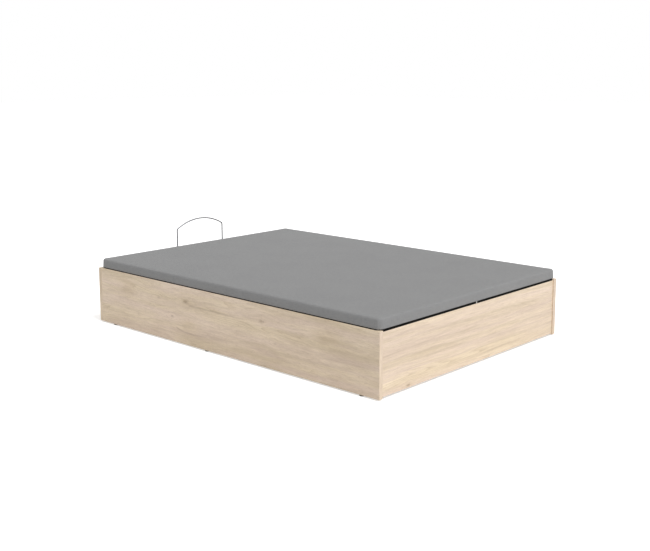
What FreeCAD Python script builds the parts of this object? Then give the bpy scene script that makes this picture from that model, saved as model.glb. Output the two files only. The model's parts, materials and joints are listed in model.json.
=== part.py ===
import FreeCAD, Part
import math
import os

import Sketcher

# Lift-up storage bed base: a laminated box, a padded lid and a pair of lifting linkages with gas springs.
# Millimetres, +Z up, foot end at -Y, head end at +Y, origin on the floor under the middle of the box.

doc = FreeCAD.newDocument("lift_up_storage_bed")
dims = doc.addObject("Spreadsheet::Sheet", "Dims")

SIZES = {
    # box of four laminated boards
    "bed_width": 1350,
    "bed_length": 1900,
    "board_thick": 22,
    "side_height": 280,
    "foot_setback": 5,
    "foot_raise": 5,
    "foot_drop": 7,
    "edge_round": 1,
    # what the box stands on
    "glide_height": 6,
    "glide_radius": 10,
    "glide_foot_inset": 102,
    "glide_middle": 1059,
    "glide_head_inset": 121,
    # floor of the storage space
    "ledger_size": 25,
    "ledger_raise": 14,
    "floor_thick": 5,
    "floor_play": 1,
    "joiner_width": 24,
    "joiner_lip": 2,
    "joiner_web": 4,
    "beam_width": 40,
    "centre_foot_radius": 22,
    "centre_foot_height": 10,
    "centre_foot_inset": 350,
    # corner angles and wood screws
    "angle_leg": 45,
    "angle_thick": 2,
    "angle_raise": 70,
    "angle_drop": 34,
    "angle_hole_reach": 27,
    "angle_hole_inset": 26,
    "screw_radius": 2.5,
    "screw_length": 14,
    "screw_head_radius": 4.5,
    "screw_head_height": 2.5,
    # lid: tube frame, board, foam and cover
    "lid_gap": 4,
    "lid_thick": 45,
    "lid_side_inset": 6,
    "lid_foot_inset": 4,
    "lid_head_inset": 16,
    "lid_corner_radius": 22,
    "lid_top_round": 10,
    "lid_bottom_round": 2,
    "cover_side": 5,
    "cover_top": 10,
    "lid_board_thick": 5,
    "tube_width": 20,
    "tube_wall": 1.5,
    # rests that carry the closed lid
    "strip_width": 10,
    "strip_set_in": 1,
    "strip_end_play": 1,
    "rest_play": 0.3,
    "lid_rest_width": 7,
    # arch that keeps the mattress from sliding off
    "arch_width": 326,
    "arch_rise": 135,
    "arch_crown_radius": 314,
    "arch_bend_radius": 15,
    "arch_rod_radius": 3.5,
    "arch_stand_off": 4.5,
    "clamp_width": 40,
    "clamp_height": 30,
    "clamp_depth": 13,
    "clamp_raise": 8,
    "clamp_bolt_offset": 12,
    # lifting linkage, pivots in side view
    "rear_pivot_from_head": 315,
    "rear_pivot_drop": 47,
    "rear_link_reach": 145,
    "rear_link_rise": 7,
    "bracket_pivot_back": 42,
    "bracket_pivot_drop": 47,
    "front_pivot_ahead": 211,
    "front_pivot_raise": 73,
    "strut_foot_back": 7,
    "strut_foot_raise": 44,
    # lifting linkage, plates and pins
    "plate_thick": 3,
    "link_thick": 5,
    "link_half_width": 16,
    "bracket_thick": 4,
    "stack_gap": 0.5,
    "pivot_radius": 6,
    "pivot_play": 0.05,
    "open_pivot_play": 1.2,
    "pin_head_radius": 13,
    "pin_head_height": 2.4,
    "shoulder_radius": 11,
    "plate_margin": 32,
    "plate_toe": 64,
    "plate_top_margin": 29,
    "plate_foot_margin": 24,
    "fixing_inset": 16,
    "fixing_pitch": 50,
    "bracket_margin": 22,
    "bracket_toe": 130,
    "bracket_heel": 80,
    "bracket_heel_drop": 9,
    "bolt_radius": 4,
    "bolt_head_radius": 7,
    "bolt_head_height": 4,
    # gas springs
    "strut_stand_in": 34,
    "cylinder_radius": 10,
    "cylinder_wall": 1.5,
    "cylinder_cap": 5,
    "gland_length": 12,
    "rod_show": 28,
    "rod_radius": 4,
    "rod_play": 0.3,
    "piston_length": 10,
    "piston_play": 0.4,
    "piston_clear": 8,
    "eye_radius": 12,
    "eye_width": 10,
    "eye_reach": 22,
    "neck_radius": 4,
}
CROSS_RAILS = 4
TOUCHING = 1e-6

for row, (alias, size) in enumerate(SIZES.items(), start=1):
    dims.set(f"A{row}", alias)
    dims.set(f"B{row}", str(size))
    dims.setAlias(f"B{row}", alias)
doc.recompute()

# Places worked out from the sizes, as expressions on the sheet.
HALF_WIDTH = "Dims.bed_width / 2"
INNER_X = "(Dims.bed_width / 2 - Dims.board_thick)"
HALF_LENGTH = "Dims.bed_length / 2"
FOOT_OUTER_Y = "(Dims.foot_setback - Dims.bed_length / 2)"
FOOT_INNER_Y = f"({FOOT_OUTER_Y} + Dims.board_thick)"
HEAD_INNER_Y = "(Dims.bed_length / 2 - Dims.board_thick)"
SIDE_TOP = "(Dims.glide_height + Dims.side_height)"
FOOT_BOTTOM = "(Dims.glide_height + Dims.foot_raise)"
FOOT_TOP = f"({SIDE_TOP} - Dims.foot_drop)"
LEDGER_BOTTOM = "(Dims.glide_height + Dims.ledger_raise)"
FLOOR_BOTTOM = f"({LEDGER_BOTTOM} + Dims.ledger_size)"
FLOOR_TOP = f"({FLOOR_BOTTOM} + Dims.floor_thick)"

LID_BOTTOM = f"({SIDE_TOP} + Dims.lid_gap)"
LID_HALF_WIDTH = "(Dims.bed_width / 2 - Dims.lid_side_inset)"
LID_FOOT_Y = "(Dims.lid_foot_inset - Dims.bed_length / 2)"
LID_HEAD_Y = "(Dims.bed_length / 2 - Dims.lid_head_inset)"
LID_LENGTH = f"({LID_HEAD_Y} - {LID_FOOT_Y})"
TUBE_HEIGHT = "(Dims.lid_thick - Dims.cover_top - Dims.lid_board_thick)"
TUBE_TOP = f"({LID_BOTTOM} + {TUBE_HEIGHT})"
LID_TOP = f"({LID_BOTTOM} + Dims.lid_thick)"
CAVITY_X = f"({LID_HALF_WIDTH} - Dims.cover_side)"
CAVITY_FOOT_Y = f"({LID_FOOT_Y} + Dims.cover_side)"
CAVITY_HEAD_Y = f"({LID_HEAD_Y} - Dims.cover_side)"

# Linkage pivots in side view: the rear link joins the box to the lid bracket, and so does the front link.
REAR_Y = "(Dims.bed_length / 2 - Dims.rear_pivot_from_head)"
REAR_Z = f"({SIDE_TOP} - Dims.rear_pivot_drop)"
LIFT_Y = f"({REAR_Y} + Dims.rear_link_reach)"
LIFT_Z = f"({REAR_Z} + Dims.rear_link_rise)"
HANG_Y = f"({LIFT_Y} - Dims.bracket_pivot_back)"
HANG_Z = f"({LIFT_Z} - Dims.bracket_pivot_drop)"
FRONT_Y = f"({REAR_Y} - Dims.front_pivot_ahead)"
FRONT_Z = f"({FLOOR_TOP} + Dims.front_pivot_raise)"
REAR_LINK_SPAN = "sqrt(Dims.rear_link_reach ^ 2 + Dims.rear_link_rise ^ 2)"
REAR_LINK_TILT = "atan2(Dims.rear_link_rise; Dims.rear_link_reach)"
FRONT_LINK_SPAN = f"sqrt(({HANG_Y} - {FRONT_Y}) ^ 2 + ({HANG_Z} - {FRONT_Z}) ^ 2)"
FRONT_LINK_TILT = f"atan2({HANG_Z} - {FRONT_Z}; {HANG_Y} - {FRONT_Y})"

# The strut's foot is as far from the rear pivot as its head, so it turns half as fast as the rear link.
STRUT_Y = f"({REAR_Y} + Dims.strut_foot_back)"
STRUT_Z = f"({FLOOR_TOP} + Dims.strut_foot_raise)"
STRUT_SPAN = f"sqrt(({LIFT_Y} - {STRUT_Y}) ^ 2 + ({LIFT_Z} - {STRUT_Z}) ^ 2)"
STRUT_TILT = f"atan2({LIFT_Z} - {STRUT_Z}; {LIFT_Y} - {STRUT_Y})"

# Layers of the linkage, counted inwards from the inner face of a side board.
REAR_LINK_LAYER = "(Dims.plate_thick + Dims.stack_gap)"
BRACKET_LAYER = f"({REAR_LINK_LAYER} + Dims.link_thick + Dims.stack_gap)"
FRONT_LINK_LAYER = f"({BRACKET_LAYER} + Dims.bracket_thick + Dims.stack_gap)"
FRONT_LINK_FACE = f"({FRONT_LINK_LAYER} + Dims.link_thick)"
EYE_LAYER = "(Dims.strut_stand_in - Dims.eye_width / 2)"
EYE_FACE = "(Dims.strut_stand_in + Dims.eye_width / 2)"
RAIL_INNER_X = f"({INNER_X} - {BRACKET_LAYER})"

SIDES = {"left": -1, "right": 1}
ENDS = {"foot": -1, "head": 1}
END_INNER_Y = {"foot": FOOT_INNER_Y, "head": HEAD_INNER_Y}

sub_parts = []


# Small helpers

def read(expression):
    """Value of an expression on the sheet, in millimetres or degrees."""
    result = dims.evalExpression(expression)
    return float(getattr(result, "Value", result))


def keep(solid, label):
    """Name a finished sub-part and put it on the list of parts to write."""
    solid.Label = label
    sub_parts.append(solid)
    return solid


def move_to(solid, corner):
    """Bind the three coordinates of a solid's place."""
    for axis, expression in zip("xyz", corner):
        solid.setExpression(f"Placement.Base.{axis}", expression)


def turn_about_x(solid, angle):
    """Bind a turn about the X axis, from +Y towards +Z."""
    solid.Placement = FreeCAD.Placement(FreeCAD.Vector(), FreeCAD.Rotation(FreeCAD.Vector(1, 0, 0), 1))
    solid.setExpression("Placement.Rotation.Angle", angle)


def box(name, size, corner):
    """Plain block from its size and its low corner."""
    block = doc.addObject("Part::Box", name)
    for edge, expression in zip(("Length", "Width", "Height"), size):
        block.setExpression(edge, expression)
    move_to(block, corner)
    return block


ROUND_AXES = {
    "x": FreeCAD.Rotation(FreeCAD.Vector(0, 1, 0), 90),
    "y": FreeCAD.Rotation(FreeCAD.Vector(1, 0, 0), -90),
    "z": FreeCAD.Rotation(),
}


def round_bar(name, axis, radius, length, start):
    """Round bar along +X, +Y or +Z from its start point."""
    bar = doc.addObject("Part::Cylinder", name)
    bar.Placement = FreeCAD.Placement(FreeCAD.Vector(), ROUND_AXES[axis])
    bar.setExpression("Radius", radius)
    bar.setExpression("Height", length)
    move_to(bar, start)
    return bar


def cut(name, base, tool):
    """One solid with another taken out of it."""
    result = doc.addObject("Part::Cut", name)
    result.Base = base
    result.Tool = tool
    return result


def fuse(name, solids):
    """Several solids joined into one."""
    result = doc.addObject("Part::MultiFuse", name)
    result.Shapes = solids
    result.Refine = True
    return result


def group(name, solids):
    """Several loose solids under one name."""
    result = doc.addObject("Part::Compound", name)
    result.Links = solids
    return result


def inwards(sign, start, thick):
    """Low X of a layer that starts a distance inwards from a side board's inner face."""
    if sign > 0:
        return f"{INNER_X} - ({start}) - ({thick})"
    return f"({start}) - {INNER_X}"


def new_sketch(body, plane):
    """Sketch on one of a body's own origin planes."""
    sketch = body.newObject("Sketcher::SketchObject", f"{body.Name}_sketch")
    support = [feature for feature in body.Origin.OriginFeatures if feature.Role == plane]
    sketch.AttachmentSupport = [(support[0], "")]
    sketch.MapMode = "FlatFace"
    return sketch


def bound(sketch, constraint, expression):
    """Add a measured constraint and bind it to an expression."""
    index = sketch.addConstraint(constraint)
    name = f"size_{index}"
    sketch.renameConstraint(index, name)
    sketch.setExpression(f"Constraints.{name}", expression)


def outline(sketch, corners):
    """Closed outline of straight lines through corners given as expressions."""
    points = [FreeCAD.Vector(read(across), read(up), 0) for across, up in corners]
    count = len(points)
    for index in range(count):
        sketch.addGeometry(Part.LineSegment(points[index], points[(index + 1) % count]), False)
    for index in range(count):
        sketch.addConstraint(Sketcher.Constraint("Coincident", index, 2, (index + 1) % count, 1))
    for index, (across, up) in enumerate(corners):
        if across == "0":
            sketch.addConstraint(Sketcher.Constraint("PointOnObject", index, 1, -2))
        else:
            bound(sketch, Sketcher.Constraint("DistanceX", -1, 1, index, 1, points[index].x), across)
        if up == "0":
            sketch.addConstraint(Sketcher.Constraint("PointOnObject", index, 1, -1))
        else:
            bound(sketch, Sketcher.Constraint("DistanceY", -1, 1, index, 1, points[index].y), up)


def circle(sketch, across, up, radius):
    """Circle from its centre and radius, given as expressions."""
    centre = FreeCAD.Vector(read(across), read(up), 0)
    index = sketch.addGeometry(Part.Circle(centre, FreeCAD.Vector(0, 0, 1), read(radius)), False)
    bound(sketch, Sketcher.Constraint("DistanceX", -1, 1, index, 3, centre.x), across)
    bound(sketch, Sketcher.Constraint("DistanceY", -1, 1, index, 3, centre.y), up)
    bound(sketch, Sketcher.Constraint("Radius", index, read(radius)), radius)


def pad(body, sketch, length):
    """Pad of a sketch along its normal."""
    feature = body.newObject("PartDesign::Pad", f"{body.Name}_pad")
    feature.Profile = sketch
    feature.setExpression("Length", length)
    doc.recompute()
    return feature


def pocket(body, sketch, length):
    """Pocket cut from a sketch into the solid above it."""
    before = body.Shape.Volume
    feature = body.newObject("PartDesign::Pocket", f"{body.Name}_pocket")
    feature.Profile = sketch
    feature.setExpression("Length", length)
    feature.Reversed = True
    doc.recompute()
    if body.Shape.Volume >= before:
        raise RuntimeError(f"the pocket of {body.Name} cut nothing")
    return feature


def fillet(body, base, radius, wanted):
    """Round the edges of a feature that a test picks out."""
    names = [f"Edge{number}" for number, edge in enumerate(base.Shape.Edges, start=1) if wanted(edge)]
    feature = body.newObject("PartDesign::Fillet", f"{body.Name}_fillet")
    feature.Base = (base, names)
    feature.setExpression("Radius", radius)
    doc.recompute()
    return feature


def upright(edge):
    """Tell whether an edge is a straight vertical line."""
    bounds = edge.BoundBox
    return bounds.ZLength > 0 and bounds.XLength < TOUCHING and bounds.YLength < TOUCHING


def any_edge(edge):
    """Pick out every edge."""
    return True


def level_at(height):
    """Test for edges that lie flat at one height."""
    return lambda edge: edge.BoundBox.ZLength < TOUCHING and abs(edge.BoundBox.ZMin - height) < TOUCHING


def slab(label, size, corner, radius, wanted):
    """Flat slab with the edges rounded that a test picks out."""
    width, length, height = size
    body = doc.addObject("PartDesign::Body", label)
    sketch = new_sketch(body, "XY_Plane")
    outline(sketch, [("0", "0"), (width, "0"), (width, length), ("0", length)])
    fillet(body, pad(body, sketch, height), radius, wanted)
    move_to(body, corner)
    return keep(body, label)


def turned(name, profile, sign, centre):
    """Turned pin along X from (distance inwards, radius) corners, mirrored for the left side."""
    body = doc.addObject("PartDesign::Body", name)
    sketch = new_sketch(body, "XZ_Plane")
    if sign > 0:
        profile = [(along if along == "0" else f"-({along})", radius) for along, radius in profile]
    outline(sketch, profile)
    feature = body.newObject("PartDesign::Revolution", f"{name}_turn")
    feature.Profile = sketch
    feature.ReferenceAxis = (sketch, ["H_Axis"])
    feature.Angle = 360
    across, up = centre
    move_to(body, (f"{sign} * {INNER_X}", across, up))
    doc.recompute()
    return body


def pin_pair(label, profile, centre):
    """Left and right pins of one kind, as a group of two solids."""
    pins = [turned(f"{label}_{side}", profile, sign, centre) for side, sign in SIDES.items()]
    return keep(group(label, pins), label)


# Box of laminated boards

def make_boards():
    """Side boards with a foot board between them and a head board over their ends, edges eased all round."""
    for side, sign in SIDES.items():
        low_x = INNER_X if sign > 0 else f"-{HALF_WIDTH}"
        size = ("Dims.board_thick", f"{HEAD_INNER_Y} + {HALF_LENGTH}", "Dims.side_height")
        corner = (low_x, f"-{HALF_LENGTH}", "Dims.glide_height")
        slab(f"side_panel_{side}", size, corner, "Dims.edge_round", any_edge)
    foot_size = (f"2 * {INNER_X}", "Dims.board_thick", f"{FOOT_TOP} - {FOOT_BOTTOM}")
    slab("foot_panel", foot_size, (f"-{INNER_X}", FOOT_OUTER_Y, FOOT_BOTTOM), "Dims.edge_round", any_edge)
    head_size = ("Dims.bed_width", "Dims.board_thick", "Dims.side_height")
    head_corner = (f"-{HALF_WIDTH}", HEAD_INNER_Y, "Dims.glide_height")
    slab("head_panel", head_size, head_corner, "Dims.edge_round", any_edge)


def make_glides():
    """Glides under the side boards."""
    places = (
        "Dims.glide_foot_inset - Dims.bed_length / 2",
        "Dims.glide_middle - Dims.bed_length / 2",
        "Dims.bed_length / 2 - Dims.glide_head_inset",
    )
    glides = []
    for side, sign in SIDES.items():
        middle_x = f"{sign} * ({INNER_X} + Dims.board_thick / 2)"
        for number, along in enumerate(places, start=1):
            name = f"glide_{side}_{number}"
            foot = (middle_x, along, "0")
            glides.append(round_bar(name, "z", "Dims.glide_radius", "Dims.glide_height", foot))
    keep(group("glides", glides), "glides")


def make_floor():
    """Ledgers along the boards, a centre beam on feet and two floor sheets in a joining strip."""
    ledger = "Dims.ledger_size"
    for side, sign in SIDES.items():
        low_x = f"{INNER_X} - {ledger}" if sign > 0 else f"-{INNER_X}"
        size = (ledger, f"{HEAD_INNER_Y} - {FOOT_INNER_Y}", ledger)
        keep(box(f"ledger_{side}", size, (low_x, FOOT_INNER_Y, LEDGER_BOTTOM)), f"ledger_{side}")
    for end, sign in ENDS.items():
        low_y = f"{HEAD_INNER_Y} - {ledger}" if sign > 0 else FOOT_INNER_Y
        size = (f"2 * ({INNER_X} - {ledger})", ledger, ledger)
        keep(box(f"ledger_{end}", size, (f"{ledger} - {INNER_X}", low_y, LEDGER_BOTTOM)), f"ledger_{end}")

    beam_foot = f"({FOOT_INNER_Y} + {ledger})"
    beam_head = f"({HEAD_INNER_Y} - {ledger})"
    beam_height = f"{FLOOR_BOTTOM} - Dims.joiner_lip - Dims.centre_foot_height"
    beam_size = ("Dims.beam_width", f"{beam_head} - {beam_foot}", beam_height)
    beam_corner = ("-Dims.beam_width / 2", beam_foot, "Dims.centre_foot_height")
    keep(box("centre_beam", beam_size, beam_corner), "centre_beam")
    feet = []
    for name, sign in (("foot", -1), ("middle", 0), ("head", 1)):
        start = ("0", f"{sign} * ({HALF_LENGTH} - Dims.centre_foot_inset)", "0")
        radius = "Dims.centre_foot_radius"
        feet.append(round_bar(f"centre_foot_{name}", "z", radius, "Dims.centre_foot_height", start))
    keep(group("centre_feet", feet), "centre_feet")

    sheet_half = f"({INNER_X} - Dims.floor_play)"
    for end, sign in ENDS.items():
        sheet_length = f"({sign} * {END_INNER_Y[end]} - Dims.floor_play - Dims.joiner_web / 2)"
        low_y = "Dims.joiner_web / 2" if sign > 0 else f"-Dims.joiner_web / 2 - {sheet_length}"
        size = (f"2 * {sheet_half}", sheet_length, "Dims.floor_thick")
        sheet = box(f"floor_sheet_{end}", size, (f"-{sheet_half}", low_y, FLOOR_BOTTOM))
        keep(sheet, f"floor_sheet_{end}")

    strip_half = f"({INNER_X} - {ledger} - Dims.floor_play)"
    strip = box(
        "joiner_strip",
        (f"2 * {strip_half}", "Dims.joiner_width", "Dims.floor_thick + 2 * Dims.joiner_lip"),
        (f"-{strip_half}", "-Dims.joiner_width / 2", f"{FLOOR_BOTTOM} - Dims.joiner_lip"),
    )
    slot_depth = "(Dims.joiner_width - Dims.joiner_web) / 2"
    slots = []
    for end, sign in ENDS.items():
        low_y = "Dims.joiner_web / 2" if sign > 0 else "-Dims.joiner_width / 2"
        size = (f"2 * {strip_half}", slot_depth, "Dims.floor_thick")
        slots.append(box(f"joiner_slot_{end}", size, (f"-{strip_half}", low_y, FLOOR_BOTTOM)))
    keep(cut("floor_joiner", strip, group("joiner_slots", slots)), "floor_joiner")


def screw(name, axis, direction, seat):
    """Wood screw: a shank driven along an axis and a low head on the seat it bears on."""
    place = dict(zip("xyz", seat))
    shank_place = dict(place)
    head_place = dict(place)
    if direction > 0:
        head_place[axis] = f"{place[axis]} - Dims.screw_head_height"
    else:
        shank_place[axis] = f"{place[axis]} - Dims.screw_length"
    shank_start = tuple(shank_place.values())
    head_start = tuple(head_place.values())
    shank = round_bar(f"{name}_shank", axis, "Dims.screw_radius", "Dims.screw_length", shank_start)
    head = round_bar(f"{name}_head", axis, "Dims.screw_head_radius", "Dims.screw_head_height", head_start)
    return fuse(name, [shank, head])


def make_corners():
    """Steel angles that join the boards at the inside corners, with their screws."""
    leg = "Dims.angle_leg"
    thick = "Dims.angle_thick"
    bottom = f"({FLOOR_BOTTOM} + Dims.angle_raise)"
    top = f"({FOOT_TOP} - Dims.angle_drop)"
    height = f"{top} - {bottom}"
    levels = {"low": f"{bottom} + Dims.angle_hole_inset", "high": f"{top} - Dims.angle_hole_inset"}
    side_face = f"({INNER_X} - {thick})"
    end_hole_x = f"({INNER_X} - Dims.angle_hole_reach)"
    angles = []
    screws = []
    for side, side_sign in SIDES.items():
        for end, end_sign in ENDS.items():
            name = f"angle_{side}_{end}"
            inner_y = END_INNER_Y[end]
            side_leg_x = f"{INNER_X} - {thick}" if side_sign > 0 else f"-{INNER_X}"
            end_leg_x = f"{INNER_X} - {leg}" if side_sign > 0 else f"-{INNER_X}"
            side_leg_y = f"{inner_y} - {leg}" if end_sign > 0 else inner_y
            end_leg_y = f"{inner_y} - {thick}" if end_sign > 0 else inner_y
            side_hole_y = f"({inner_y} - ({end_sign}) * Dims.angle_hole_reach)"
            end_face = f"({inner_y} - ({end_sign}) * {thick})"
            side_leg = box(f"{name}_side", (thick, leg, height), (side_leg_x, side_leg_y, bottom))
            end_leg = box(f"{name}_end", (leg, thick, height), (end_leg_x, end_leg_y, bottom))
            angles.append(fuse(name, [side_leg, end_leg]))
            for level, up in levels.items():
                side_seat = (f"{side_sign} * {side_face}", side_hole_y, up)
                end_seat = (f"{side_sign} * {end_hole_x}", end_face, up)
                screws.append(screw(f"{name}_side_screw_{level}", "x", side_sign, side_seat))
                screws.append(screw(f"{name}_end_screw_{level}", "y", end_sign, end_seat))
    keep(group("corner_angles", angles), "corner_angles")
    keep(group("corner_screws", screws), "corner_screws")


def make_lid_rests():
    """Rubber strips along the rim of the box, and a rest block between the two on the foot board."""
    strip_foot = f"({LID_FOOT_Y} + Dims.lid_corner_radius)"
    strip_head = f"({LID_HEAD_Y} - Dims.lid_corner_radius)"
    outer_x = f"({LID_HALF_WIDTH} - Dims.strip_set_in)"
    side_size = ("Dims.strip_width", f"{strip_head} - {strip_foot}", "Dims.lid_gap - Dims.rest_play")
    for side, sign in SIDES.items():
        low_x = f"{outer_x} - Dims.strip_width" if sign > 0 else f"-{outer_x}"
        keep(box(f"rim_strip_{side}", side_size, (low_x, strip_foot, SIDE_TOP)), f"rim_strip_{side}")

    height = f"{LID_BOTTOM} - Dims.rest_play - {FOOT_TOP}"
    block_size = ("Dims.lid_rest_width", "Dims.board_thick - 2 * Dims.edge_round", height)
    block_y = f"{FOOT_OUTER_Y} + Dims.edge_round"
    keep(box("foot_lid_rest", block_size, ("-Dims.lid_rest_width / 2", block_y, FOOT_TOP)), "foot_lid_rest")

    near_x = "(Dims.lid_rest_width / 2 + Dims.strip_end_play)"
    far_x = f"({LID_HALF_WIDTH} - Dims.lid_corner_radius)"
    foot_size = (f"{far_x} - {near_x}", "Dims.strip_width", height)
    for side, sign in SIDES.items():
        corner = (near_x if sign > 0 else f"-{far_x}", f"{block_y} + Dims.strip_set_in", FOOT_TOP)
        keep(box(f"foot_strip_{side}", foot_size, corner), f"foot_strip_{side}")


# Lid: welded tube frame, board, foam and cover

def tube(label, axis, size, corner):
    """Rectangular steel tube along X or Y, open at its ends."""
    wall = "Dims.tube_wall"
    outer = box(f"{label}_outer", size, corner)
    trimmed = [f"{edge} - 2 * {wall}" for edge in size]
    shifted = [f"{place} + {wall}" for place in corner]
    along = "xyz".index(axis)
    trimmed[along] = size[along]
    shifted[along] = corner[along]
    return keep(cut(label, outer, box(f"{label}_bore", trimmed, shifted)), label)


def make_lid_frame():
    """Long rails, end rails between them and cross rails."""
    corner_start = "(Dims.lid_corner_radius - Dims.cover_side)"
    long_foot = f"({CAVITY_FOOT_Y} + {corner_start})"
    long_head = f"({CAVITY_HEAD_Y} - {corner_start})"
    rail_width = f"{CAVITY_X} - {RAIL_INNER_X}"
    for side, sign in SIDES.items():
        low_x = RAIL_INNER_X if sign > 0 else f"-{CAVITY_X}"
        size = (rail_width, f"{long_head} - {long_foot}", TUBE_HEIGHT)
        tube(f"lid_rail_{side}", "y", size, (low_x, long_foot, LID_BOTTOM))
    cross_size = (f"2 * {RAIL_INNER_X}", "Dims.tube_width", TUBE_HEIGHT)
    tube("lid_rail_foot", "x", cross_size, (f"-{RAIL_INNER_X}", CAVITY_FOOT_Y, LID_BOTTOM))
    head_corner = (f"-{RAIL_INNER_X}", f"{CAVITY_HEAD_Y} - Dims.tube_width", LID_BOTTOM)
    tube("lid_rail_head", "x", cross_size, head_corner)
    pitch = f"({CAVITY_HEAD_Y} - {CAVITY_FOOT_Y} - Dims.tube_width) / {CROSS_RAILS + 1}"
    for number in range(1, CROSS_RAILS + 1):
        corner = (f"-{RAIL_INNER_X}", f"{CAVITY_FOOT_Y} + {number} * {pitch}", LID_BOTTOM)
        tube(f"lid_cross_rail_{number}", "x", cross_size, corner)


def make_lid_board_and_cover():
    """Board on the frame, and the padded cover drawn over both."""
    inner_radius = "Dims.lid_corner_radius - Dims.cover_side"
    board_size = (f"2 * {CAVITY_X}", f"{CAVITY_HEAD_Y} - {CAVITY_FOOT_Y}", "Dims.lid_board_thick")
    board_corner = (f"-{CAVITY_X}", CAVITY_FOOT_Y, TUBE_TOP)
    slab("lid_board", board_size, board_corner, inner_radius, upright)

    cover = doc.addObject("PartDesign::Body", "lid_cover")
    width = f"2 * {LID_HALF_WIDTH}"
    block = new_sketch(cover, "XY_Plane")
    outline(block, [("0", "0"), (width, "0"), (width, LID_LENGTH), ("0", LID_LENGTH)])
    pad(cover, block, "Dims.lid_thick")
    hollow = new_sketch(cover, "XY_Plane")
    side = "Dims.cover_side"
    far_x = f"{width} - {side}"
    far_y = f"{LID_LENGTH} - {side}"
    outline(hollow, [(side, side), (far_x, side), (far_x, far_y), (side, far_y)])
    hollowed = pocket(cover, hollow, f"{TUBE_HEIGHT} + Dims.lid_board_thick")
    outer_x = read(width)
    outer_y = read(LID_LENGTH)

    def on_outside(edge):
        bounds = edge.BoundBox
        reach = (bounds.XMin, bounds.YMin, outer_x - bounds.XMax, outer_y - bounds.YMax)
        return min(abs(distance) for distance in reach) < TOUCHING

    inner = fillet(cover, hollowed, inner_radius, lambda edge: upright(edge) and not on_outside(edge))
    corners = fillet(cover, inner, "Dims.lid_corner_radius", lambda edge: upright(edge) and on_outside(edge))
    topped = fillet(cover, corners, "Dims.lid_top_round", level_at(read("Dims.lid_thick")))
    at_bottom = level_at(0)
    fillet(cover, topped, "Dims.lid_bottom_round", lambda edge: at_bottom(edge) and on_outside(edge))
    move_to(cover, (f"-{LID_HALF_WIDTH}", LID_FOOT_Y, LID_BOTTOM))
    keep(cover, "lid_cover")


def make_arch():
    """Bent rod behind the head of the lid, held by two clamps that are bolted to the head rail."""
    radius = read("Dims.arch_rod_radius")
    leg_x = read("Dims.arch_width / 2")
    crown = read("Dims.arch_crown_radius")
    bend = read("Dims.arch_bend_radius")
    rod_y = read(f"{LID_HEAD_Y} + Dims.arch_stand_off + Dims.arch_rod_radius")
    foot_z = read(f"{LID_BOTTOM} + Dims.clamp_raise")
    top_z = read(f"{LID_TOP} + Dims.arch_rise")
    crown_z = top_z - crown
    bend_x = leg_x - bend
    bend_z = crown_z + math.sqrt((crown - bend) ** 2 - bend_x ** 2)
    lean = math.atan2(bend_z - crown_z, bend_x)

    def point(across, up):
        return FreeCAD.Vector(across, rod_y, up)

    def on_bend(angle, sign):
        return point(sign * (bend_x + bend * math.cos(angle)), bend_z + bend * math.sin(angle))

    left = (point(-leg_x, foot_z), on_bend(0, -1), on_bend(lean / 2, -1), on_bend(lean, -1))
    right = (point(leg_x, foot_z), on_bend(0, 1), on_bend(lean / 2, 1), on_bend(lean, 1))
    path = Part.Wire([
        Part.LineSegment(left[0], left[1]).toShape(),
        Part.Arc(left[1], left[2], left[3]).toShape(),
        Part.Arc(left[3], point(0, top_z), right[3]).toShape(),
        Part.Arc(right[3], right[2], right[1]).toShape(),
        Part.LineSegment(right[1], right[0]).toShape(),
    ])
    section = Part.Wire(Part.Circle(left[0], FreeCAD.Vector(0, 0, 1), radius).toShape())
    arch = doc.addObject("Part::Feature", "mattress_arch")
    arch.Shape = path.makePipeShell([section], True, True)
    keep(arch, "mattress_arch")

    clamp_bottom = f"{LID_BOTTOM} + Dims.clamp_raise"
    clamps = []
    bolts = []
    for side, sign in SIDES.items():
        middle_x = f"{sign} * Dims.arch_width / 2"
        size = ("Dims.clamp_width", "Dims.clamp_depth", "Dims.clamp_height")
        corner = (f"{middle_x} - Dims.clamp_width / 2", LID_HEAD_Y, clamp_bottom)
        block = box(f"clamp_block_{side}", size, corner)
        rod_start = (middle_x, f"{LID_HEAD_Y} + Dims.arch_stand_off + Dims.arch_rod_radius", clamp_bottom)
        bore = round_bar(f"clamp_bore_{side}", "z", "Dims.arch_rod_radius", "Dims.clamp_height", rod_start)
        clamps.append(cut(f"clamp_{side}", block, bore))
        for hand, offset in (("inner", -1), ("outer", 1)):
            name = f"arch_bolt_{side}_{hand}"
            seat = (
                f"{middle_x} + {offset} * Dims.clamp_bolt_offset",
                f"{LID_HEAD_Y} + Dims.clamp_depth",
                f"{clamp_bottom} + Dims.clamp_height / 2",
            )
            length = "Dims.clamp_depth + Dims.cover_side + 2 * Dims.tube_wall"
            start = (seat[0], f"{seat[1]} - ({length})", seat[2])
            shank = round_bar(f"{name}_shank", "y", "Dims.screw_radius", length, start)
            head = round_bar(f"{name}_head", "y", "Dims.screw_head_radius", "Dims.screw_head_height", seat)
            bolts.append(fuse(name, [shank, head]))
    keep(group("arch_clamps", clamps), "arch_clamps")
    keep(group("arch_bolts", bolts), "arch_bolts")


# Lifting linkage

def drilled_plate(label, corners, holes, thick, low_x):
    """Flat upright plate from its side-view outline, with round holes."""
    body = doc.addObject("PartDesign::Body", label)
    sketch = new_sketch(body, "YZ_Plane")
    outline(sketch, corners)
    pad(body, sketch, thick)
    drilling = new_sketch(body, "YZ_Plane")
    for across, up, radius in holes:
        circle(drilling, across, up, radius)
    pocket(body, drilling, thick)
    body.setExpression("Placement.Base.x", low_x)
    return keep(body, label)


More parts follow.
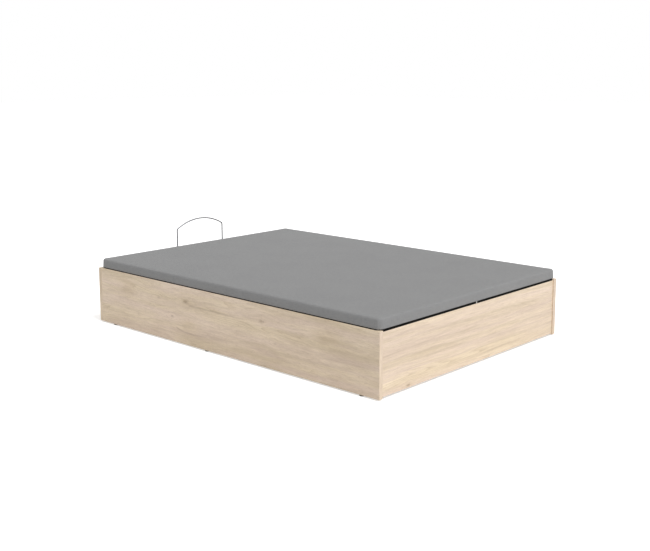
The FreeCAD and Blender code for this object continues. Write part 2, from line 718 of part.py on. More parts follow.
def make_hinge_plates():
    """Plates on the side boards that carry the fixed pivots, with their screws."""
    margin = "Dims.plate_margin"
    top = f"{REAR_Z} + Dims.plate_top_margin"
    corners = [
        (f"{FRONT_Y} - {margin}", f"{FRONT_Z} - {margin}"),
        (f"{STRUT_Y} + {margin}", f"{STRUT_Z} - Dims.plate_foot_margin"),
        (f"{REAR_Y} + {margin}", top),
        (f"{REAR_Y} - Dims.plate_toe", top),
        (f"{FRONT_Y} - {margin}", f"{FRONT_Z} + {margin}"),
    ]
    pivots = ((REAR_Y, REAR_Z), (FRONT_Y, FRONT_Z), (STRUT_Y, STRUT_Z))
    holes = [(across, up, "Dims.pivot_radius") for across, up in pivots]
    inset = "Dims.fixing_inset"
    pitch = "Dims.fixing_pitch"
    fixings = [
        (f"{REAR_Y} - Dims.plate_toe + {inset}", f"{top} - {inset}"),
        (f"{FRONT_Y} - {inset}", f"{FRONT_Z} + {inset}"),
        (f"{FRONT_Y} + {pitch}", f"{FRONT_Z} - {inset}"),
        (f"{STRUT_Y} - {pitch}", STRUT_Z),
        (STRUT_Y, f"{STRUT_Z} + {pitch}"),
    ]
    screws = []
    for side, sign in SIDES.items():
        low_x = inwards(sign, "0", "Dims.plate_thick")
        drilled_plate(f"hinge_plate_{side}", corners, holes, "Dims.plate_thick", low_x)
        for number, (across, up) in enumerate(fixings, start=1):
            seat = (f"{sign} * ({INNER_X} - Dims.plate_thick)", across, up)
            screws.append(screw(f"hinge_screw_{side}_{number}", "x", sign, seat))
    keep(group("hinge_plate_screws", screws), "hinge_plate_screws")


def make_pins():
    """Turned pins: two fixed pivots and a strut foot on each plate, two pivots on each lid bracket."""
    thin = "Dims.pivot_radius"
    wide = "Dims.pin_head_radius"
    step = "Dims.shoulder_radius"
    head = "Dims.pin_head_height"
    gap = "Dims.stack_gap / 2"
    plate = "Dims.plate_thick"

    def headed(start, seat, face):
        """Profile of a pin with a shoulder from the start to the seat and a head past the face."""
        shoulder = [(start, thin), (plate, thin), (plate, step), (seat, step), (seat, thin)]
        top = [(face, thin), (face, wide), (f"{face} + {head}", wide), (f"{face} + {head}", "0")]
        return [(start, "0")] + shoulder + top

    rear_face = f"{REAR_LINK_LAYER} + Dims.link_thick + {gap}"
    rear = [("0", "0"), ("0", thin), (rear_face, thin), (rear_face, wide)]
    rear += [(f"{rear_face} + {head}", wide), (f"{rear_face} + {head}", "0")]
    pin_pair("rear_pivot_pins", rear, (REAR_Y, REAR_Z))
    front = headed("0", f"{FRONT_LINK_LAYER} - {gap}", f"{FRONT_LINK_FACE} + {gap}")
    pin_pair("front_pivot_pins", front, (FRONT_Y, FRONT_Z))
    foot = headed("0", f"{EYE_LAYER} - {gap}", f"{EYE_FACE} + {gap}")
    pin_pair("strut_foot_pins", foot, (STRUT_Y, STRUT_Z))

    outer = f"{REAR_LINK_LAYER} - {gap}"
    bracket_face = f"{BRACKET_LAYER} + Dims.bracket_thick"
    seat = f"{EYE_LAYER} - {gap}"
    face = f"{EYE_FACE} + {gap}"
    lift = [(f"{outer} - {head}", "0"), (f"{outer} - {head}", wide), (outer, wide), (outer, thin)]
    lift += [(bracket_face, thin), (bracket_face, step), (seat, step), (seat, thin)]
    lift += [(face, thin), (face, wide), (f"{face} + {head}", wide), (f"{face} + {head}", "0")]
    pin_pair("lift_pivot_pins", lift, (LIFT_Y, LIFT_Z))
    hang_face = f"{FRONT_LINK_FACE} + {gap}"
    hang = [(BRACKET_LAYER, "0"), (BRACKET_LAYER, thin), (hang_face, thin), (hang_face, wide)]
    hang += [(f"{hang_face} + {head}", wide), (f"{hang_face} + {head}", "0")]
    pin_pair("hanger_pivot_pins", hang, (HANG_Y, HANG_Z))


def link(label, span, tilt, start, far_play, low_x):
    """Flat link with round ends and a bore at each end."""
    body = doc.addObject("PartDesign::Body", label)
    sketch = new_sketch(body, "YZ_Plane")
    half = read("Dims.link_half_width")
    reach = read(span)
    up = FreeCAD.Vector(0, 0, 1)
    near_end = Part.Circle(FreeCAD.Vector(0, 0, 0), up, half)
    far_end = Part.Circle(FreeCAD.Vector(reach, 0, 0), up, half)
    sketch.addGeometry(Part.ArcOfCircle(near_end, math.pi / 2, 3 * math.pi / 2), False)
    sketch.addGeometry(Part.ArcOfCircle(far_end, -math.pi / 2, math.pi / 2), False)
    sketch.addGeometry(Part.LineSegment(FreeCAD.Vector(0, -half, 0), FreeCAD.Vector(reach, -half, 0)), False)
    sketch.addGeometry(Part.LineSegment(FreeCAD.Vector(reach, half, 0), FreeCAD.Vector(0, half, 0)), False)
    for first, first_end, second, second_end in ((0, 2, 2, 1), (2, 2, 1, 1), (1, 2, 3, 1), (3, 2, 0, 1)):
        sketch.addConstraint(Sketcher.Constraint("Tangent", first, first_end, second, second_end))
    sketch.addConstraint(Sketcher.Constraint("Coincident", 0, 3, -1, 1))
    sketch.addConstraint(Sketcher.Constraint("PointOnObject", 1, 3, -1))
    bound(sketch, Sketcher.Constraint("DistanceX", 0, 3, 1, 3, reach), span)
    bound(sketch, Sketcher.Constraint("Radius", 0, half), "Dims.link_half_width")
    pad(body, sketch, "Dims.link_thick")
    drilling = new_sketch(body, "YZ_Plane")
    circle(drilling, "0", "0", "Dims.pivot_radius + Dims.pivot_play")
    circle(drilling, span, "0", f"Dims.pivot_radius + {far_play}")
    pocket(body, drilling, "Dims.link_thick")
    turn_about_x(body, tilt)
    across, height = start
    move_to(body, (low_x, across, height))
    return keep(body, label)


def make_links():
    """Rear and front links; the front link's far bore is open enough for the linkage to close."""
    for side, sign in SIDES.items():
        rear_x = inwards(sign, REAR_LINK_LAYER, "Dims.link_thick")
        link(f"rear_link_{side}", REAR_LINK_SPAN, REAR_LINK_TILT, (REAR_Y, REAR_Z), "Dims.pivot_play", rear_x)
        front_x = inwards(sign, FRONT_LINK_LAYER, "Dims.link_thick")
        start = (FRONT_Y, FRONT_Z)
        link(f"front_link_{side}", FRONT_LINK_SPAN, FRONT_LINK_TILT, start, "Dims.open_pivot_play", front_x)


def make_lid_brackets():
    """Plates bolted to the long rails that hang the lid on its two pivots."""
    margin = "Dims.bracket_margin"
    top = f"{TUBE_TOP} - Dims.tube_wall"
    foot = f"{LID_BOTTOM} - Dims.lid_gap"
    corners = [
        (f"{HANG_Y} - {margin}", f"{HANG_Z} - {margin}"),
        (f"{HANG_Y} + {margin}", f"{HANG_Z} - {margin}"),
        (f"{LIFT_Y} + {margin}", f"{LIFT_Z} - Dims.bracket_heel_drop"),
        (f"{LIFT_Y} + Dims.bracket_heel", foot),
        (f"{LIFT_Y} + Dims.bracket_heel", top),
        (f"{LIFT_Y} - Dims.bracket_toe", top),
        (f"{LIFT_Y} - Dims.bracket_toe", foot),
        (f"{HANG_Y} - {margin}", f"{HANG_Z} + {margin}"),
    ]
    holes = [(LIFT_Y, LIFT_Z, "Dims.pivot_radius"), (HANG_Y, HANG_Z, "Dims.pivot_radius")]
    bolt_inset = "2 * Dims.bolt_head_radius"
    places = (
        f"{LIFT_Y} - Dims.bracket_toe + {bolt_inset}",
        LIFT_Y,
        f"{LIFT_Y} + Dims.bracket_heel - {bolt_inset}",
    )
    head_height = "Dims.bolt_head_height"
    bolts = []
    for side, sign in SIDES.items():
        low_x = inwards(sign, BRACKET_LAYER, "Dims.bracket_thick")
        drilled_plate(f"lid_bracket_{side}", corners, holes, "Dims.bracket_thick", low_x)
        grip = f"(Dims.bracket_thick + {CAVITY_X} - {RAIL_INNER_X} - Dims.tube_wall / 2)"
        head_start = f"({BRACKET_LAYER} + Dims.bracket_thick)"
        for number, along in enumerate(places, start=1):
            up = f"{LID_BOTTOM} + {TUBE_HEIGHT} / 2"
            name = f"bracket_bolt_{side}_{number}"
            shank_x = inwards(sign, f"{head_start} - {grip}", grip)
            head_x = inwards(sign, head_start, head_height)
            shank = round_bar(f"{name}_shank", "x", "Dims.bolt_radius", grip, (shank_x, along, up))
            head = round_bar(f"{name}_head", "x", "Dims.bolt_head_radius", head_height, (head_x, along, up))
            bolts.append(fuse(name, [shank, head]))
    keep(group("lid_bracket_bolts", bolts), "lid_bracket_bolts")


# Gas springs

def along_strut(label, profile, side_sign):
    """Turned piece on a strut's axis, from (distance from its foot, radius) corners."""
    body = doc.addObject("PartDesign::Body", label)
    sketch = new_sketch(body, "YZ_Plane")
    outline(sketch, profile)
    feature = body.newObject("PartDesign::Revolution", f"{label}_turn")
    feature.Profile = sketch
    feature.ReferenceAxis = (sketch, ["H_Axis"])
    feature.Angle = 360
    turn_about_x(body, STRUT_TILT)
    move_to(body, (f"{side_sign} * ({INNER_X} - Dims.strut_stand_in)", STRUT_Y, STRUT_Z))
    doc.recompute()
    return body


def strut_eye(name, sign, centre, near, far):
    """End eye of a strut: a ring on its pin, joined to a round neck along the strut's axis."""
    neck = doc.addObject("Part::Cylinder", f"{name}_neck")
    neck.setExpression("Radius", "Dims.neck_radius")
    neck.setExpression("Height", f"{far} - {near}")
    turn_about_x(neck, f"{STRUT_TILT} - 90 deg")
    neck_y = f"{STRUT_Y} + {near} * cos({STRUT_TILT})"
    neck_z = f"{STRUT_Z} + {near} * sin({STRUT_TILT})"
    move_to(neck, (f"{sign} * ({INNER_X} - Dims.strut_stand_in)", neck_y, neck_z))
    across, up = centre
    low_x = inwards(sign, EYE_LAYER, "Dims.eye_width")
    ring = round_bar(f"{name}_ring", "x", "Dims.eye_radius", "Dims.eye_width", (low_x, across, up))
    bore_radius = "Dims.pivot_radius + Dims.pivot_play"
    bore = round_bar(f"{name}_bore", "x", bore_radius, "Dims.eye_width", (low_x, across, up))
    return cut(name, fuse(f"{name}_body", [ring, neck]), bore)


def make_gas_springs():
    """Cylinders on the hinge plates, and rods with pistons that reach the lift pivots."""
    start = "Dims.eye_reach"
    rod_end = f"({STRUT_SPAN} - Dims.eye_reach)"
    end = f"({rod_end} - Dims.rod_show)"
    outer = "Dims.cylinder_radius"
    bore = "(Dims.cylinder_radius - Dims.cylinder_wall)"
    gland = "(Dims.rod_radius + Dims.rod_play)"
    inside = f"({start} + Dims.cylinder_cap)"
    shell = [(start, "0"), (start, outer), (end, outer), (end, gland), (f"{end} - Dims.gland_length", gland),
             (f"{end} - Dims.gland_length", bore), (inside, bore), (inside, "0")]
    piston_start = f"({inside} + Dims.piston_clear)"
    piston_end = f"({piston_start} + Dims.piston_length)"
    piston = f"({bore} - Dims.piston_play)"
    rod = [(piston_start, "0"), (piston_start, piston), (piston_end, piston), (piston_end, "Dims.rod_radius"),
           (rod_end, "Dims.rod_radius"), (rod_end, "0")]
    head_near = f"({STRUT_SPAN} - Dims.pivot_radius)"
    foot_eyes = []
    head_eyes = []
    for side, sign in SIDES.items():
        keep(along_strut(f"gas_cylinder_{side}", shell, sign), f"gas_cylinder_{side}")
        keep(along_strut(f"gas_rod_{side}", rod, sign), f"gas_rod_{side}")
        foot = (STRUT_Y, STRUT_Z)
        foot_eyes.append(strut_eye(f"cylinder_eye_{side}", sign, foot, "Dims.pivot_radius", start))
        head = (LIFT_Y, LIFT_Z)
        head_eyes.append(strut_eye(f"rod_eye_{side}", sign, head, rod_end, head_near))
    keep(group("gas_cylinder_eyes", foot_eyes), "gas_cylinder_eyes")
    keep(group("gas_rod_eyes", head_eyes), "gas_rod_eyes")


make_boards()
make_glides()
make_floor()
make_corners()
make_lid_rests()
make_lid_frame()
make_lid_board_and_cover()
make_arch()
make_hinge_plates()
make_pins()
make_links()
make_lid_brackets()
make_gas_springs()
doc.recompute()

for item in doc.Objects:
    if "Invalid" in item.State or "Error" in item.State:
        raise RuntimeError(f"{item.Label} failed to build")
for item in sub_parts:
    if item.Shape.isNull() or not item.Shape.isValid():
        raise RuntimeError(f"{item.Label} has no valid shape")

os.makedirs("parts", exist_ok=True)
for item in sub_parts:
    item.Shape.exportStep(f"parts/{item.Label}.step")
print(f"{len(sub_parts)} sub-parts written")
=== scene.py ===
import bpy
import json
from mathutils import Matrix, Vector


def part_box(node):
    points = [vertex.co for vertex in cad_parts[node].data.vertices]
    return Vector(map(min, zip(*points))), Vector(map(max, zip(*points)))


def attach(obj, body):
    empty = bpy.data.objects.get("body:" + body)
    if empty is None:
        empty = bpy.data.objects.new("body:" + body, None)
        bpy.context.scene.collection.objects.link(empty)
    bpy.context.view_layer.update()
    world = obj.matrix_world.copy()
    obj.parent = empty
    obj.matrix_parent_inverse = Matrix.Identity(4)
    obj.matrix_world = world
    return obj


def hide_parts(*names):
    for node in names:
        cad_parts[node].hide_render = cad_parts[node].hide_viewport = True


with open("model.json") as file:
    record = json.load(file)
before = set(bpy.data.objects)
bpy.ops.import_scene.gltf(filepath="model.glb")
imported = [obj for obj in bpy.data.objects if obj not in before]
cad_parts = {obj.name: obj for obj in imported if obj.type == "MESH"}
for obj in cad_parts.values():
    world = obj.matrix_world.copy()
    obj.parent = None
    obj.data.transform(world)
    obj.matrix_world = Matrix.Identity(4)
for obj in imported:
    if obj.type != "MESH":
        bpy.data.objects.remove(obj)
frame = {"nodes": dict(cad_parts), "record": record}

"""Finishes, soft lid and studio for a lift-up storage bed base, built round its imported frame.

Metres, +Z up, foot end at -Y, head end at +Y. Every piece is placed from the frame's own nodes.
"""

import json
import logging
import math
from dataclasses import dataclass
from enum import Enum
from typing import Callable, Optional, Sequence, Union

import bmesh
import bpy
from mathutils import Vector

log = logging.getLogger("storage_bed")

Socket = bpy.types.NodeSocket
Value = Union[Socket, float]
Colour = tuple[float, float, float]

MM = 0.001
WELD_GAP = 0.01 * MM
CUT_GAP = 0.001 * MM
FLAT_ANGLE = math.radians(0.5)
SHARP_ANGLE = math.radians(35)
STRAIGHT = 0.99
NOISE_MIDDLE = 0.5
CLOTH_MAP = "cloth"


def linear(red: int, green: int, blue: int) -> Colour:
    """Turn a colour as a screen shows it into the linear values that a shader takes.

    Args:
        red: Red, 0 to 255.
        green: Green, 0 to 255.
        blue: Blue, 0 to 255.

    Returns:
        The linear values, 0 to 1.
    """
    def channel(level: int) -> float:
        """Turn one level into its linear value."""
        share = level / 255
        return share / 12.92 if share <= 0.04045 else ((share + 0.055) / 1.055) ** 2.4
    return channel(red), channel(green), channel(blue)


class Nodes:
    """Short ways of adding nodes to one node tree."""

    def __init__(self, tree: bpy.types.NodeTree) -> None:
        """Start on a tree."""
        self.tree = tree

    @classmethod
    def fresh(cls, owner: Union[bpy.types.Material, bpy.types.World]) -> "Nodes":
        """Start on the emptied tree of a material or a world.

        Args:
            owner: The material or world.

        Returns:
            Its nodes.
        """
        owner.use_nodes = True
        owner.node_tree.nodes.clear()
        return cls(owner.node_tree)

    def feed(self, value: object, socket: Socket) -> None:
        """Link a socket to an input, or set the input to a plain value.

        Args:
            value: The socket or the plain value.
            socket: The input.
        """
        if isinstance(value, Socket):
            self.tree.links.new(value, socket)
        else:
            socket.default_value = value

    def add(self, kind: str, inputs: Optional[dict] = None, **settings: object) -> bpy.types.Node:
        """Add a node.

        Args:
            kind: Type name of the node.
            inputs: Values or sockets for its inputs, by name or number.
            settings: Properties to set on it.

        Returns:
            The new node.
        """
        node = self.tree.nodes.new(kind)
        for name, setting in settings.items():
            setattr(node, name, setting)
        for key, value in (inputs or {}).items():
            self.feed(value, node.inputs[key])
        return node

    def math(self, operation: str, first: Value, second: Value = 0.0, clamp: bool = False) -> Socket:
        """Work out one number from two, by an operation that the Math node names."""
        node = self.add("ShaderNodeMath", {0: first, 1: second}, operation=operation, use_clamp=clamp)
        return node.outputs[0]

    def plus(self, first: Value, second: Value) -> Socket:
        """Add two numbers."""
        return self.math("ADD", first, second)

    def minus(self, first: Value, second: Value) -> Socket:
        """Take the second number from the first."""
        return self.math("SUBTRACT", first, second)

    def times(self, first: Value, second: Value) -> Socket:
        """Multiply two numbers."""
        return self.math("MULTIPLY", first, second)

    def over(self, first: Value, second: Value) -> Socket:
        """Divide the first number by the second."""
        return self.math("DIVIDE", first, second)

    def split(self, vector: Socket) -> tuple[Socket, ...]:
        """Take a vector apart into its three numbers."""
        return tuple(self.add("ShaderNodeSeparateXYZ", {0: vector}).outputs)

    def join(self, along: Value, across: Value, depth: Value) -> Socket:
        """Put three numbers together as a vector."""
        return self.add("ShaderNodeCombineXYZ", {0: along, 1: across, 2: depth}).outputs[0]

    def stretch(self, vector: Socket, scale: Sequence[float], shift: Sequence[float] = (0, 0, 0)) -> Socket:
        """Scale and then shift the place that a pattern is read at."""
        inputs = {"Vector": vector, "Scale": scale, "Location": shift}
        return self.add("ShaderNodeMapping", inputs).outputs[0]

    def noise(self, vector: Socket, scale: Value, detail: float = 2.0, roughness: float = 0.5,
              distortion: float = 0.0) -> Socket:
        """Add soft noise.

        Args:
            vector: The place it is read at.
            scale: Cells for each unit of the place.
            detail: Number of finer layers.
            roughness: Strength of the finer layers.
            distortion: How far the pattern is swirled.

        Returns:
            The noise, about 0.2 to 0.8.
        """
        inputs = {"Vector": vector, "Scale": scale, "Detail": detail, "Roughness": roughness,
                  "Distortion": distortion}
        return self.add("ShaderNodeTexNoise", inputs).outputs[0]

    def between(self, value: Socket, low: float, high: float) -> Socket:
        """Bring a range of values to 0 to 1, easing in and out at its ends."""
        inputs = {"Value": value, "From Min": low, "From Max": high}
        return self.add("ShaderNodeMapRange", inputs, interpolation_type="SMOOTHSTEP").outputs[0]

    def blend(self, share: Value, first: object, second: object, mode: str = "MIX") -> Socket:
        """Mix two colours.

        Args:
            share: How much of the second colour shows.
            first: First colour, or a socket.
            second: Second colour, or a socket.
            mode: Way of mixing, as the Mix node names it.

        Returns:
            The mixed colour.
        """
        start, end = [(*colour, 1.0) if isinstance(colour, tuple) else colour for colour in (first, second)]
        inputs = {"Factor": share, 6: start, 7: end}
        return self.add("ShaderNodeMix", inputs, data_type="RGBA", blend_type=mode).outputs[2]

    def choose(self, share: Socket, first: Socket, second: Socket) -> Socket:
        """Take the first vector where the share is 0, and the second where it is 1."""
        inputs = {"Factor": share, 4: first, 5: second}
        return self.add("ShaderNodeMix", inputs, data_type="VECTOR").outputs[1]

    def fall(self, square: Socket, steepness: float) -> Socket:
        """Give a bell-shaped mask from the squared distance to its middle, where it is 1."""
        return self.math("POWER", math.e, self.times(square, -steepness))

    def bump(self, height: Socket, distance: float) -> Socket:
        """Turn a height into a surface normal, with the depth in metres that a height of 1 stands for."""
        return self.add("ShaderNodeBump", {"Height": height, "Distance": distance}).outputs[0]

    def use(self, group: bpy.types.NodeTree, **inputs: object) -> bpy.types.bpy_prop_collection:
        """Place a shared node group, feed its inputs by name and give its outputs."""
        return self.add("ShaderNodeGroup", inputs, node_tree=group).outputs


SOCKET_KINDS = {float: "NodeSocketFloat", Vector: "NodeSocketVector"}


def new_group(name: str, inputs: dict[str, type], outputs: dict[str, type]) -> tuple[Nodes, dict, Callable]:
    """Start a shared node group.

    Args:
        name: Name of the group.
        inputs: Names of the inputs and what they carry.
        outputs: Names of the outputs and what they carry.

    Returns:
        The group's nodes, its input sockets by name, and a function that feeds outputs by name.
    """
    tree = bpy.data.node_groups.new(name, "ShaderNodeTree")
    for way, labels in (("INPUT", inputs), ("OUTPUT", outputs)):
        for label, kind in labels.items():
            tree.interface.new_socket(label, in_out=way, socket_type=SOCKET_KINDS[kind])
    nodes = Nodes(tree)
    entry = nodes.add("NodeGroupInput")
    leave = nodes.add("NodeGroupOutput")

    def give(**values: Socket) -> None:
        """Feed outputs of the group."""
        for label, value in values.items():
            nodes.feed(value, leave.inputs[label])
    return nodes, {label: entry.outputs[label] for label in inputs}, give


@dataclass(frozen=True)
class Streaks:
    """One layer of streaks in wood grain.

    Attributes:
        along: Streaks to the metre along the grain.
        across: Streaks to the metre across it.
        detail: Number of finer layers in them.
        roughness: Strength of the finer layers.
        swirl: How far they are swirled.
        shift: Where in the pattern they are taken.
    """

    along: float
    across: float
    detail: float
    roughness: float
    swirl: float = 0.0
    shift: tuple[float, float, float] = (0.0, 0.0, 0.0)

    def draw(self, nodes: Nodes, place: Socket) -> Socket:
        """Draw the streaks at a place, as noise of about 0.2 to 0.8."""
        spread = nodes.stretch(place, (self.along, self.across, self.across), self.shift)
        return nodes.noise(spread, 1.0, self.detail, self.roughness, self.swirl)


SWAY = Streaks(1.3, 5.0, 2.0, 0.5)
BROAD = Streaks(1.1, 10.0, 2.0, 0.5, 0.2)
MIDDLE = Streaks(4.4, 38.0, 3.0, 0.55, 0.2)
NARROW = Streaks(20.0, 140.0, 5.0, 0.7, 0.15)
TINT = Streaks(1.6, 19.0, 3.0, 0.6, 0.3, (7.0, 3.0, 0.0))
RIPPLE = Streaks(1.1, 8.5, 1.0, 0.4, 0.3, (2.0, 9.0, 0.0))
FIBRES = Streaks(9.0, 420.0, 2.0, 0.6)
PORES = Streaks(60.0, 850.0, 1.0, 0.5)


class Effects:
    """Shared surface effects, each a node group that is built once."""

    def __init__(self) -> None:
        """Build every group."""
        self.knot = self.build_knot()
        self.vein = self.build_vein()
        self.grain = self.build_grain()
        self.weave = self.build_weave()
        self.mottle = self.build_mottle()

    @staticmethod
    def build_knot() -> bpy.types.NodeTree:
        """Make the group that bends grain round a knot.

        Returns:
            The group: the place in grain coordinates goes in, with the knot's own place and size. The bent
            place, a mask of the dark eye and a mask of the stained wood round it come out.
        """
        nodes, given, give = new_group(
            "grain knot",
            {"Place": Vector, "Along": float, "Across": float, "Radius": float, "Bend": float},
            {"Place": Vector, "Eye": float, "Stain": float},
        )
        slimness = 0.5
        rag_cells = 110.0
        rag_roughness = 0.6
        bend_fall = 0.25
        eye_fall = 5.0
        stain_fall = 0.45
        along, across, depth = nodes.split(given["Place"])
        ahead = nodes.over(nodes.minus(along, given["Along"]), given["Radius"])
        ragged = nodes.minus(nodes.noise(given["Place"], rag_cells, roughness=rag_roughness), NOISE_MIDDLE)
        ahead = nodes.plus(nodes.times(ahead, slimness), ragged)
        aside = nodes.over(nodes.minus(across, given["Across"]), given["Radius"])
        square = nodes.plus(nodes.times(ahead, ahead), nodes.times(aside, aside))
        pull = nodes.times(nodes.times(aside, given["Radius"]), nodes.fall(square, bend_fall))
        bent = nodes.minus(across, nodes.times(pull, given["Bend"]))
        give(Place=nodes.join(along, bent, depth), Eye=nodes.fall(square, eye_fall),
             Stain=nodes.fall(square, stain_fall))
        return nodes.tree

    @staticmethod
    def build_vein() -> bpy.types.NodeTree:
        """Make the group that draws one dark line that drops a little, then runs along the grain.

        Returns:
            The group: the place goes in with the line's start, length and width. Its mask comes out.
        """
        nodes, given, give = new_group(
            "grain vein",
            {"Place": Vector, "Along": float, "Across": float, "Length": float, "Width": float},
            {"Line": float},
        )
        settling_rate = 8.0
        drop_in_widths = 4.0
        fade_in = (0.0, 0.1)
        fade_out = (1.0, 0.35)
        along, across, _ = nodes.split(given["Place"])
        share = nodes.over(nodes.minus(given["Along"], along), given["Length"])
        drop = nodes.times(nodes.fall(share, settling_rate), nodes.times(given["Width"], drop_in_widths))
        off = nodes.over(nodes.minus(nodes.minus(across, given["Across"]), drop), given["Width"])
        line = nodes.fall(nodes.times(off, off), 1.0)
        window = nodes.times(nodes.between(share, *fade_in), nodes.between(share, *fade_out))
        give(Line=nodes.times(line, window))
        return nodes.tree

    @staticmethod
    def build_grain() -> bpy.types.NodeTree:
        """Make the wood grain group.

        Returns:
            The group: the place goes in with X along the grain. A tone from dark to pale, a tint from
            pinkish to yellowish, and masks of the growth lines, fibres and pores come out, each 0 to 1, with
            a surface height.
        """
        nodes, given, give = new_group(
            "wood grain",
            {"Place": Vector, "Coarseness": float, "Length": float},
            {"Tone": float, "Tint": float, "Lines": float, "Fibres": float, "Pores": float,
             "Height": float},
        )
        sway_reach = 0.045
        wide_weight = 0.32
        narrow_weight = 0.36
        ring_count = 26.0
        ring_waver = 1.4
        late_sharpness = 3.0
        broad_share = 0.5
        line_range = (0.7, 0.95)
        tone_range = (0.32, 0.68)
        tint_range = (0.33, 0.67)
        fibre_range = (0.3, 0.7)
        pore_range = (0.58, 0.72)
        fibre_height = 0.35
        along, across, depth = nodes.split(given["Place"])
        sway = nodes.minus(SWAY.draw(nodes, given["Place"]), NOISE_MIDDLE)
        across = nodes.plus(across, nodes.times(sway, sway_reach))
        long_way = nodes.over(along, given["Length"])
        place = nodes.join(long_way, nodes.over(across, given["Coarseness"]), depth)
        layers = (BROAD, MIDDLE, NARROW, TINT, RIPPLE, FIBRES, PORES)
        broad, middle, narrow, tint, ripple, fibres, pores = [layer.draw(nodes, place) for layer in layers]
        wide = nodes.times(nodes.plus(broad, middle), wide_weight)
        tone = nodes.plus(wide, nodes.times(narrow, narrow_weight))
        rings = nodes.plus(nodes.times(ripple, ring_count), nodes.times(middle, ring_waver))
        late_wood = nodes.math("POWER", nodes.math("FRACT", rings), late_sharpness)
        shown = nodes.between(nodes.plus(nodes.times(broad, broad_share), tint), *line_range)
        fibre_mask = nodes.between(fibres, *fibre_range)
        pore_mask = nodes.between(pores, *pore_range)
        give(Tone=nodes.between(tone, *tone_range), Tint=nodes.between(tint, *tint_range),
             Lines=nodes.times(late_wood, shown), Fibres=fibre_mask, Pores=pore_mask,
             Height=nodes.minus(nodes.times(fibre_mask, fibre_height), pore_mask))
        return nodes.tree

    @staticmethod
    def build_weave() -> bpy.types.NodeTree:
        """Make the plain weave group.

        Returns:
            The group: the place on the cloth and the thread pitch go in, in metres. The thread height and a
            mask of the gaps come out.
        """
        nodes, given, give = new_group(
            "plain weave", {"Place": Vector, "Pitch": float}, {"Height": float, "Gaps": float},
        )
        low_share = 0.55
        gap_range = (0.5, 0.2)
        across, along, _ = nodes.split(given["Place"])
        turns = [nodes.over(place, given["Pitch"]) for place in (across, along)]
        cells = nodes.plus(*[nodes.math("FLOOR", turn) for turn in turns])
        over = nodes.math("PINGPONG", cells, 1.0)
        threads = []
        for turn, on_top in zip(turns, (over, nodes.minus(1.0, over))):
            ridge = nodes.math("ABSOLUTE", nodes.math("SINE", nodes.times(turn, math.pi)))
            lift = nodes.plus(nodes.times(on_top, 1 - low_share), low_share)
            threads.append(nodes.times(ridge, lift))
        height = nodes.math("MAXIMUM", *threads)
        give(Height=height, Gaps=nodes.between(height, *gap_range))
        return nodes.tree

    @staticmethod
    def build_mottle() -> bpy.types.NodeTree:
        """Make the group of cloudy and fine unevenness that coats, plating and mouldings share.

        Returns:
            The group: the place and the size of the fine grain go in. A cloud mask and a fine mask come
            out.
        """
        nodes, given, give = new_group(
            "mottle", {"Place": Vector, "Grain": float}, {"Cloud": float, "Fine": float},
        )
        cloud_cells = 14.0
        mask_range = (0.3, 0.7)
        cloud = nodes.noise(given["Place"], cloud_cells, detail=4.0, roughness=0.55)
        fine = nodes.noise(given["Place"], nodes.over(1.0, given["Grain"]))
        give(Cloud=nodes.between(cloud, *mask_range), Fine=nodes.between(fine, *mask_range))
        return nodes.tree


class GrainRun(Enum):
    """Direction in which the grain of a board runs."""

    LENGTHWISE = "y"
    CROSSWISE = "x"


@dataclass(frozen=True)
class Knot:
    """A knot or stained whirl in a board.

    Attributes:
        along: Place along the board.
        height: Height of its middle above the floor.
        radius: Radius of the whirl.
        eye: Strength of its dark eye.
        stain: Strength of the yellow stain round it.
    """

    along: float
    height: float
    radius: float
    eye: float
    stain: float

    @property
    def bend(self) -> float:
        """Strength with which the grain bends round it, the more the darker its eye."""
        least = 0.3
        return least + (1 - least) * self.eye


@dataclass(frozen=True)
class Vein:
    """A dark line that trails along a board.

    Attributes:
        along: Place along the board where it starts.
        height: Height above the floor that it drops to.
        length: How far it trails.
        width: Half its width.
    """

    along: float
    height: float
    length: float
    width: float


class Finish:
    """A finish that makes one material when it is first asked for."""

    name: str

    def material(self, effects: Effects) -> bpy.types.Material:
        """Return the finish's material, made once.

        Args:
            effects: Shared effect groups.

        Returns:
            The material.
        """
        found = bpy.data.materials.get(self.name)
        if found:
            return found
        made = bpy.data.materials.new(self.name)
        nodes = Nodes.fresh(made)
        surface = nodes.add("ShaderNodeBsdfPrincipled", self.shade(nodes, effects))
        nodes.add("ShaderNodeOutputMaterial", {"Surface": surface.outputs[0]})
        return made

    def shade(self, nodes: Nodes, effects: Effects) -> dict[str, Value]:
        """Work out what feeds the surface shader.

        Args:
            nodes: Nodes of the material.
            effects: Shared effect groups.

        Returns:
            Values and sockets for the surface shader's inputs, by name.
        """
        raise NotImplementedError


@dataclass(frozen=True)
class GrainColours:
    """Colours of a wood surface.

    Attributes:
        pink: Pinkish ground.
        yellow: Yellowish ground.
        dark: What the darkest tone leaves of the ground.
        pale: What the palest tone makes of the ground.
        line: What a growth line leaves of the ground.
        pore: Colour of the pores.
        stain: Colour of stained wood round knots.
        knot: Colour of the eye of a knot.
    """

    pink: Colour
    yellow: Colour
    dark: Colour
    pale: Colour
    line: Colour
    pore: Colour
    stain: Colour
    knot: Colour


OAK = GrainColours(
    pink=linear(239, 219, 199),
    yellow=linear(240, 222, 194),
    dark=(0.76, 0.74, 0.72),
    pale=(1.10, 1.11, 1.13),
    line=(0.82, 0.79, 0.75),
    pore=linear(188, 163, 138),
    stain=linear(210, 189, 152),
    knot=linear(142, 118, 94),
)
PINE = GrainColours(
    pink=linear(230, 202, 158),
    yellow=linear(232, 206, 152),
    dark=(0.86, 0.82, 0.76),
    pale=(1.06, 1.06, 1.06),
    line=(0.60, 0.48, 0.36),
    pore=linear(196, 156, 108),
    stain=linear(200, 150, 92),
    knot=linear(112, 70, 40),
)


